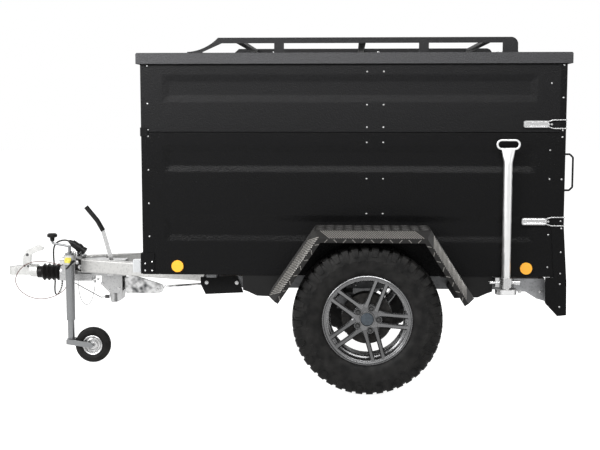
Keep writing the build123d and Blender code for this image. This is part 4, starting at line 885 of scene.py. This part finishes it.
fender_low, fender_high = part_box("fender_left")
FENDER_OUT, FENDER_IN = -fender_low.y, -fender_high.y
FENDER_FOLD, FENDER_LIP, FENDER_SHEET = 0.038, 0.019, 0.003
FENDER_PATH = ((-0.479, 0.490), (-0.257, 0.813), (0.303, 0.813), (0.512, 0.485))
TREAD_PLATE = tread_finish("tread_plate", (0.007, 0.007, 0.007), (0.016, 0.0155, 0.015), 0.42, 300.0, 0.1)
sockets(TREAD_PLATE)["Specular IOR Level"].default_value = 0.12
# The bars are the sheet's own paint: their lighter colour on the fold and the lip is a painted highlight, and
# the top bars carry a fainter painted highlight.
TREAD_BAR_PAINTED_HIGHLIGHT = tread_finish("tread_bar_painted_highlight", (0.085, 0.081, 0.075), (0.15, 0.143, 0.133), 0.36, 200.0, 0.4)
TOP_BAR_FAINT_HIGHLIGHT = tread_finish("top_bar_faint_painted_highlight", (0.012, 0.012, 0.012), (0.03, 0.029, 0.028), 0.4, 200.0, 0.2)
print("fender from", round(fender_low.x, 3), "to", round(fender_high.x, 3))


# %% The folded sheet
def fender_normals():
    """The outward normal in the (x, z) plane at each point of the path, mitred."""
    runs = [(Vector(b) - Vector(a)).normalized() for a, b in zip(FENDER_PATH, FENDER_PATH[1:])]
    normals = [Vector((-run.y, run.x)) for run in runs]
    mitred = [normals[0]]
    for a, b in zip(normals, normals[1:]):
        middle = (a + b).normalized()
        mitred.append(middle / middle.dot(a))
    return mitred + [normals[-1]]


FOLD_AT, LIP_AT = FENDER_OUT - FENDER_FOLD, FENDER_FOLD + 0.002
SHEET_TOP = ((FENDER_IN, 0.0), (FOLD_AT - 0.003, 0.0), (FOLD_AT, 0.0008),
             (FENDER_OUT - 0.001, FENDER_FOLD - 0.002), (FENDER_OUT, LIP_AT),
             (FENDER_OUT, FENDER_FOLD + FENDER_LIP))
SHEET_UNDER = ((FENDER_OUT - FENDER_SHEET, FENDER_FOLD + FENDER_LIP), (FENDER_OUT - FENDER_SHEET, LIP_AT),
               (FOLD_AT - 0.001, FENDER_SHEET), (FENDER_IN, FENDER_SHEET))

# %% Raised bars
BAR_LONG, BAR_WIDE, BAR_HIGH, BAR_APART = 0.030, 0.0042, 0.0011, 0.0078
SHORT_END = 0.82
PLATE_TAPER, HATCH_TAPER = 0.22, 0.12
GROUP = 0.0445
HATCH_APART = 0.0115


def bar_outline(centre, lean, half, step):
    """The corners of a bar of half a length along lean, on a flat stretch."""
    ends, wide = (centre - lean * half, centre + lean * half), step * BAR_WIDE / 2
    return [ends[0] - wide, ends[1] - wide, ends[1] + wide, ends[0] + wide]


def raised_bar(bm, stretch, outline, taper):
    """One bar on a flat stretch of the sheet, with a smaller crown on its base."""
    origin, along, across, normal = stretch
    base = [origin + along * p.x + across * p.y for p in outline]
    crown = [(b + (sum(base, Vector()) / 4 - b) * taper) + normal * BAR_HIGH for b in base]
    skin(bm, [base, crown])


# %% Patterns of bars
def plate_bars(bm, stretch, size):
    """Groups of five bars over one flat stretch."""
    columns, rows = max(1, round(size[0] / GROUP)), max(1, round(size[1] / GROUP))
    for column in range(columns):
        for row in range(rows):
            middle = Vector(((column + 0.5) * size[0] / columns, (row + 0.5) * size[1] / rows))
            turn = radians(45 if (column + row) % 2 else -45)
            lean, step = Vector((cos(turn), sin(turn))), Vector((-sin(turn), cos(turn)))
            for number in range(-2, 3):
                centre = middle + step * number * BAR_APART
                half = BAR_LONG / 2 * (SHORT_END if abs(number) == 2 else 1.0)
                half = min(half, max(0.004, size[1] / 2 / abs(lean.y) - 0.002))
                reach = abs(lean.y) * half
                if 0.001 < centre.y - reach and centre.y + reach < size[1] - 0.001:
                    raised_bar(bm, stretch, bar_outline(centre, lean, half, step), PLATE_TAPER)


def fold_hatch(bm, stretch, size):
    """Close slanting bars over the sloping fold."""
    lean = Vector((cos(radians(45)), sin(radians(45))))
    step = Vector((-lean.y, lean.x))
    half = (size[1] / 2 - 0.0015) / lean.y
    for number in range(int(size[0] / HATCH_APART)):
        centre = Vector(((number + 0.5) * HATCH_APART, size[1] / 2))
        outline = bar_outline(centre, lean, half, step)
        if min(p.x for p in outline) >= 0 and max(p.x for p in outline) <= size[0]:
            raised_bar(bm, stretch, outline, HATCH_TAPER)


# %% One fender
def fender(side, word):
    """The sheet of one fender and the raised bars on it."""
    sheet, bars, top_bars = bmesh.new(), bmesh.new(), bmesh.new()
    path = list(zip(FENDER_PATH, fender_normals()))

    def spot(station, out, deep):
        (x, z), normal = station
        return at(x - normal.x * deep, side * out, z - normal.y * deep)

    skin(sheet, [[spot(station, *point) for point in SHEET_TOP + SHEET_UNDER] for station in path])
    patterns = ((plate_bars, top_bars), (fold_hatch, bars), (plate_bars, bars))
    for start, end in zip(path, path[1:]):
        for near, far, (pattern, bm) in zip(SHEET_TOP[::2], SHEET_TOP[1::2], patterns):
            corner, beside, ahead = spot(start, *near), spot(start, *far), spot(end, *near)
            along = (ahead - corner).normalized()
            across = (beside - corner) - along * (beside - corner).dot(along)
            wide = across.length
            across = across / wide
            normal = along.cross(across)
            if normal.dot(Vector((0, side * 0.5, 0)) + Vector((-along.z, 0, along.x))) < 0:
                normal = -normal
            margin = abs((beside - corner).dot(along)) + 0.004
            stretch = (corner + along * margin, along, across, normal)
            pattern(bm, stretch, ((ahead - corner).length - 2 * margin, wide))
    finished("fender_sheet_" + word, sheet, TREAD_PLATE, sharp=20, replaces="fender_" + word)
    finished("fender_painted_highlight_bars_" + word, bars, TREAD_BAR_PAINTED_HIGHLIGHT, sharp=20)
    finished("fender_top_faint_highlight_bars_" + word, top_bars, TOP_BAR_FAINT_HIGHLIGHT, sharp=20)


for side, word in SIDES:
    fender(side, word)

# %% [markdown]
# ## Drawbar, housing and coupling
# The two beams meet at the housing of the overrun brake. Bolts clamp the housing between them, a
# short chain lies on top, and a thin rod runs back to the brake bracket. Bolts are hexagon heads on
# washers, in rows that repeat on both sides, so their places are tables.

# %% Bolts of the beams, the housing and the bracket
BEAM_BOLTS = ((-1.606, 0.0545, 0.545), (-1.588, 0.0615, 0.517))
BEAM_FACE = (-0.37, 1, 0)
HOUSING_BOLTS = [(x, 0.0565, z) for x, z in
                 ((-1.465, 0.425), (-1.429, 0.389), (-1.372, 0.512), (-1.444, 0.512), (-1.372, 0.400))]
LOWER_BOLTS = [(x, 0.040, 0.4385) for x in (-1.512, -1.400)]
bm = bmesh.new()
mirrored(bolt, bm, BEAM_BOLTS, BEAM_FACE, 0.0095, 0.009)
mirrored(bolt, bm, HOUSING_BOLTS, OUTWARD, 0.0075, 0.007)
mirrored(bolt, bm, LOWER_BOLTS, DOWN, 0.0075, 0.010)
bolt(bm, at(-1.375, -0.016, 0.430), (0, -1, 0), 0.009, 0.008)
bolt(bm, at(-1.165, -0.016, 0.388), (0, -1, 0), 0.007, 0.007)
finished("drawbar_bolts", bm, BRIGHT_ZINC, sharp=30)

# %% Painted shade inside the beams' open mouths: dark plates where the tubes' insides lie in shade
MOUTH_NEAR, MOUTH_FAR = (-1.6185, 0.0480), (-1.5560, 0.0725)
MOUTH_FACES = ((0.499, 0.561, 0.0), (0.4985, 0.502, 0.030), (0.558, 0.5615, 0.030))
bm = bmesh.new()
for side, _ in SIDES:
    for low, high, lift in MOUTH_FACES:
        rows = []
        for (x, y), share in ((MOUTH_NEAR, 0.2), (MOUTH_FAR, 1.0)):
            deep = y + max(lift * share, 0.001)
            rows.append([at(x, side * out, z) for out, z in ((y, low), (deep, low), (deep, high), (y, high))])
        skin(bm, rows)
finished("beam_mouth_painted_shade", bm, CAST_IRON, sharp=30)

# %% Brake rod and the spring in its bracket
SPRING_R, SPRING_RISE, SPRING_STEPS = 0.012, 0.00055, 84
ROD = ((-1.620, 0.428), (-1.560, 0.395), (-1.474, 0.348), (-1.452, 0.350), (-1.437, 0.356))
bm = bmesh.new()
spring = [around(Matrix(), SPRING_R, tau * k / 12, SPRING_RISE * k) + at(-1.392, -0.040, 0.322)
          for k in range(SPRING_STEPS)]
bar(bm, spring, 0.0022, 6)
bar(bm, [at(x, -0.060, z) for x, z in ROD], 0.0025, 8)
cuboid(bm, (-1.449, -1.425), (-0.067, -0.057), (0.344, 0.362))
bolt(bm, at(-1.437, -0.067, 0.353), (0, -1, 0), 0.006, 0.005)
finished("brake_rod_and_spring", bm, WIRE_ZINC, sharp=35)

# %% Chain and posts on the housing
LINKS = 7
bm = bmesh.new()
for x in (-1.617, -1.583):
    bar(bm, [at(x, -0.050, 0.5765), at(x, -0.050, 0.592)], 0.004, 8)
for k in range(LINKS):
    link = at(-1.652 + 0.011 * k, -0.058, 0.598 + 0.004 * sin(k))
    tilt = 0.003 if k % 2 else -0.003
    ring = [link + Vector((0.0075 * cos(turn), tilt * sin(turn), 0.0045 * sin(turn)))
            for turn in (tau * step / 10 for step in range(10))]
    bar(bm, ring, 0.0012, 6, looped=True)
finished("chain_and_posts", bm, GUNMETAL, sharp=35)

# %% Bolts of the coupling
bm = bmesh.new()
mirrored(bolt, bm, [(-1.910, 0.0345, 0.518), (-1.890, 0.0345, 0.516)], OUTWARD, 0.0048, 0.004)
mirrored(bolt, bm, [(-1.899, 0.0145, 0.578)], OUTWARD, 0.0062, 0.005)
finished("coupling_bolts", bm, GUNMETAL, sharp=30)

# %% [markdown]
# ## Jockey wheel
# The clamp holds the tube by a black lever with a ball end, and a yellow pad marks its grip. The
# little wheel has a rim of two pressed halves, so its face is a row of rings around the bearing.

# %% Clamp lever and yellow pad
YELLOW = new_finish("yellow_pad", (0.6, 0.52, 0.08), 0.5, specular=0.3, grain=(260.0, 2.0, 0.0002),
                    mottle=(90.0, 3.0, (0.3, (0.46, 0.38, 0.03)), (0.7, (0.72, 0.65, 0.14))))
PAD = ((-1.644, 0.556), (-1.611, 0.554), (-1.607, 0.567), (-1.609, 0.584), (-1.638, 0.586), (-1.645, 0.574))
LEVER = ((-1.586, -0.181, 0.570), (-1.598, -0.184, 0.562), (-1.612, -0.186, 0.546), (-1.632, -0.185, 0.524))
BALL_R = 0.0095
bm = bmesh.new()
skin(bm, [[at(x, y, z) for x, z in PAD] for y in (-0.178, -0.166)])
finished("yellow_pad", bm, YELLOW, bevel=0.0025)
bm = bmesh.new()
bar(bm, [at(*point) for point in LEVER], (0.006, 0.0065, 0.005, 0.0045), 10)
ball = [(0.0005 + BALL_R * sin(pi * k / 8), -BALL_R * cos(pi * k / 8)) for k in range(9)]
lathe(bm, ball, facing(at(-1.600, -0.186, 0.562), (-1, 0, -1)), 16, looped=False)
finished("clamp_lever", bm, PLASTIC, sharp=40)

# %% Pressed rim and its bearing
rim_low, rim_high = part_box("jockey_rim")
hub = (rim_low + rim_high) / 2
RIM_R, FACE = (rim_high.z - rim_low.z) / 2, (rim_high.y - rim_low.y) / 2
PRESSED = (  # radius, depth under the face
    (0.0065, FACE), (0.0065, 0.001), (0.0135, 0.001), (0.0145, 0.004), (0.0155, 0.012), (0.024, 0.013),
    (0.0265, 0.008), (0.030, 0.007), (0.033, 0.013), (0.041, 0.016), (0.0435, 0.014), (0.046, 0.008),
    (0.0515, 0.005), (RIM_R - 0.0008, 0.007), (RIM_R - 0.0002, 0.011), (0.049, 0.017),
    (0.047, FACE - 0.004), (0.047, FACE),
)
bm = bmesh.new()
for way in (-1, 1):
    lathe(bm, [(r, FACE - deep) for r, deep in PRESSED], facing(hub, (0, way, 0)), 48)
    for k in range(5):
        turn = tau * k / 5 + 0.3
        spot = hub + Vector((0.0375 * cos(turn), way * (FACE - 0.0145), 0.0375 * sin(turn)))
        bolt(bm, spot, (0, way, 0), 0.0038, 0.004)
finished("jockey_pressed_rim", bm, BRIGHT_ZINC, "jockey_wheel", sharp=24, replaces="jockey_rim")

# %% The little tyre
small_low, small_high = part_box("jockey_tyre")
SMALL_R, SMALL_HALF = (small_high.z - small_low.z) / 2, (small_high.y - small_low.y) / 2
profile = [(RIM_R - 0.002, -0.016), (RIM_R + 0.006, -0.0215), (0.072, -SMALL_HALF + 0.0005),
           (0.0735, -SMALL_HALF + 0.0018), (0.086, -SMALL_HALF + 0.003), (0.0935, -0.018),
           (0.0968, -0.0135), (SMALL_R - 0.0004, -0.008), (SMALL_R - 0.0035, -0.007),
           (SMALL_R - 0.0035, -0.0052), (SMALL_R - 0.0001, -0.0042)]
profile += [(r, -z) for r, z in reversed(profile)]
bm = bmesh.new()
lathe(bm, profile, facing(hub, (0, 1, 0)), 64)
finished("jockey_small_tyre", bm, TYRE_BLACK, "jockey_wheel", sharp=28, replaces="jockey_tyre")

# %% [markdown]
# ## Pieces along the cords and the plug
# A light spiral wraps the cable's lower run, so it reads as black and white dashes. It follows the
# cable's own line. The plug is a ribbed moulding.


# %% Spiral on the cable's lower run
def cord_line(piece):
    """The points of a cord's own line."""
    bare = piece.data.copy()
    bare.bevel_depth = 0.0
    probe = bpy.data.objects.new("probe", bare)
    mesh = bpy.data.meshes.new_from_object(probe)
    points = [v.co.copy() for v in mesh.vertices]
    bpy.data.objects.remove(probe)
    bpy.data.meshes.remove(mesh)
    bpy.data.curves.remove(bare)
    return points


SPIRAL_FROM, SPIRAL_TO, SPIRAL_PITCH, SPIRAL_STEPS = 0.006, 0.100, 0.0125, 160
SPIRAL_R, WRAP_R = 0.0049, 0.0024
line = cord_line(plug_cable)
lengths = [0.0]
for a, b in zip(line, line[1:]):
    lengths.append(lengths[-1] + (b - a).length)
helix = []
for k in range(SPIRAL_STEPS + 1):
    s = SPIRAL_FROM + (SPIRAL_TO - SPIRAL_FROM) * k / SPIRAL_STEPS
    i = max(j for j in range(len(lengths) - 1) if lengths[j] <= s)
    run = line[i + 1] - line[i]
    spot = line[i] + run * ((s - lengths[i]) / run.length)
    across = run.cross(Vector((0, 1, 0))).normalized()
    other = run.cross(across).normalized()
    turn = tau * s / SPIRAL_PITCH
    helix.append(spot + (across * cos(turn) + other * sin(turn)) * SPIRAL_R)
WRAP_WHITE = new_finish("wrap_white", (0.72, 0.72, 0.7), 0.45, grain=(300.0, 2.0, 0.0001))
bm = bmesh.new()
bar(bm, helix, WRAP_R, 6)
finished("cable_spiral", bm, WRAP_WHITE, sharp=60)

# %% Ribs of the plug
PLUG_TAIL, PLUG_MOUTH = at(-1.634, -0.040, 0.649), at(-1.562, -0.040, 0.601)
PLUG_RIBS = ((0.014, 0.0206), (0.024, 0.0208), (0.034, 0.0208), (0.044, 0.0208), (0.056, 0.0212))
MOUTH_RING = ((0.0195, -0.012), (0.0222, -0.011), (0.0222, 0.0), (0.0195, 0.0))
TAIL_SLEEVE = ((0.0055, -0.012), (0.0065, -0.022), (0.008, -0.022), (0.0155, 0.0), (0.0155, 0.004),
               (0.0055, 0.004))
plug_way = (PLUG_MOUTH - PLUG_TAIL).normalized()
bm = bmesh.new()
for along, radius in PLUG_RIBS:
    rib = ((0.0188, -0.0035), (radius, -0.0025), (radius, 0.0025), (0.0188, 0.0035))
    lathe(bm, rib, facing(PLUG_TAIL + plug_way * along, plug_way), 28)
lathe(bm, MOUTH_RING, facing(PLUG_MOUTH, plug_way), 32)
lathe(bm, TAIL_SLEEVE, facing(PLUG_TAIL, plug_way), 24)
finished("plug_ribs", bm, PLASTIC, sharp=35)

# %% [markdown]
# ## Rivets and screws of the box
# Bright rivets fix the sheets to the posts and to the stiffeners inside, in upright rows: at the
# front edge, a pair of rows over the wheel, and two at the rear, with more on the lamp carriers and
# two rows on the front wall.

# %% Rivets
RIVET_ZINC = plated("rivet_zinc", (0.36, 0.36, 0.36), 0.4)
RIVET_R = 0.0046
wall_face = -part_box("side_wall_left")[0].y - SUNK
carrier_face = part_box("lamp_carriers")[1].y - SUNK
front_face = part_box("front_wall")[0].x - AXLE + SUNK
ROWS = (
    ((-1.101,), (1.606, 1.419, 1.288, 1.256, 1.087, 0.918, 0.750)),
    ((-0.005, 0.077), (1.576, 1.413, 1.302, 1.227, 1.046, 0.871)),
    ((0.899,), (1.518, 1.190, 1.047, 0.770, 0.607)),
    ((0.958,), (1.606, 1.448, 1.288, 1.255, 1.046, 0.838)),
)
FRONT_HEIGHTS = (1.606, 1.448, 1.256, 1.087, 0.918, 0.750)
spots = [(x, wall_face, z) for places, heights in ROWS for x in places for z in heights]
spots += [(0.962, carrier_face, z) for z in (0.802, 0.683, 0.576, 0.523, 0.407)]
bm = bmesh.new()
mirrored(rivet, bm, spots, OUTWARD, RIVET_R)
finished("side_rivets", bm, RIVET_ZINC, sharp=60)
bm = bmesh.new()
mirrored(rivet, bm, [(front_face, 0.5, z) for z in FRONT_HEIGHTS], (-1, 0, 0), RIVET_R)
finished("front_rivets", bm, RIVET_ZINC, sharp=60)

# %% [markdown]
# ## Small fittings
# Screws on the corner brackets, hexagon heads at the rails' ends, on their shoes and along the rack,
# and the rims of the round reflectors: small marks that show the scale of the big dark panels.

# %% Screws and bolts
SCREWS = ((-1.124, 0.612), (-1.089, 0.621), (-1.089, 0.576), (-1.124, 0.576))
bracket_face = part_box("corner_brackets")[1].y - SUNK
end_low, end_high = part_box("rail_end_plates")
shoe_low, shoe_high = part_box("rail_shoes")
bm = bmesh.new()
mirrored(rivet, bm, [(x, bracket_face, z) for x, z in SCREWS], OUTWARD, 0.0044)
RAIL_BOLTS = [(x, end_high.y - SUNK, end_low.z + 0.050) for x in (0.775, 0.880)]
RAIL_BOLTS += [(x, shoe_high.y - SUNK, shoe_low.z + 0.060) for x in (-0.820, -0.665)]
mirrored(bolt, bm, RAIL_BOLTS, OUTWARD, 0.007, 0.006)
finished("fitting_bolts", bm, BRIGHT_ZINC, sharp=30)

# %% Bolts of the rack, which rise with the lid
rail_low, rail_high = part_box("rack_rails")
RACK_BOLTS = [(x, rail_high.y - 0.010, rail_low.z + 0.0045) for x in (-0.860, -0.470, 0.050, 0.640)]
bm = bmesh.new()
mirrored(bolt, bm, RACK_BOLTS, UP, 0.005, 0.004)
finished("rack_bolts", bm, BRIGHT_ZINC, "lid", sharp=30)

# %% Rims of the round reflectors
reflector_low, reflector_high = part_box("side_reflectors")
REFLECTOR_R = 0.030
REFLECTOR_RIM = ((0.0262, -0.001), (0.0262, 0.0038), (0.0285, 0.0038), (0.0300, 0.002), (0.0300, -0.001))
AMBER_RIM = lens("amber_rim", (0.75, 0.28, 0.01), (0.6, 0.2, 0.01), 600.0)
height = (reflector_low.z + reflector_high.z) / 2
bm = bmesh.new()
for side, _ in SIDES:
    for x in (reflector_low.x - AXLE + REFLECTOR_R, reflector_high.x - AXLE - REFLECTOR_R):
        spot = at(x, side * (reflector_high.y - 0.004), height)
        lathe(bm, REFLECTOR_RIM, facing(spot, (0, side, 0)), 48)
finished("reflector_rims", bm, AMBER_RIM, sharp=40)

# %% [markdown]
# ## Toggle latches
# Each latch is a folded lever over its base: raised rims along its edges, a thin rib between them,
# a round lip across its free end, and three small screws.

# %% Latch levers
latch_low, latch_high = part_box("latches")
LATCH_FACE = latch_high.y - 0.0006
LATCH_MIDDLE = 0.0245
LATCH_BARS = (  # (x, height) at each end, radius
    ((0.012, -0.011), (0.118, -0.011), 0.0022), ((0.012, 0.011), (0.118, 0.011), 0.0022),
    ((0.007, -0.013), (0.007, 0.013), 0.0034), ((0.030, -0.006), (0.105, -0.006), 0.0012),
)
LATCH_BOLTS = (0.026, 0.122, 0.134)
bm = bmesh.new()
for side, _ in SIDES:
    for start, middle in ((latch_low.x - AXLE + 0.002, latch_high.z - LATCH_MIDDLE),
                          (latch_low.x - AXLE - 0.004, latch_low.z + LATCH_MIDDLE)):
        for *ends, radius in LATCH_BARS:
            bar(bm, [at(start + x, side * LATCH_FACE, middle + z) for x, z in ends], radius, 8)
        for x in LATCH_BOLTS:
            bolt(bm, at(start + x, side * LATCH_FACE, middle), (0, side, 0), 0.0038, 0.003)
finished("latch_levers", bm, BRIGHT_ZINC, sharp=40)
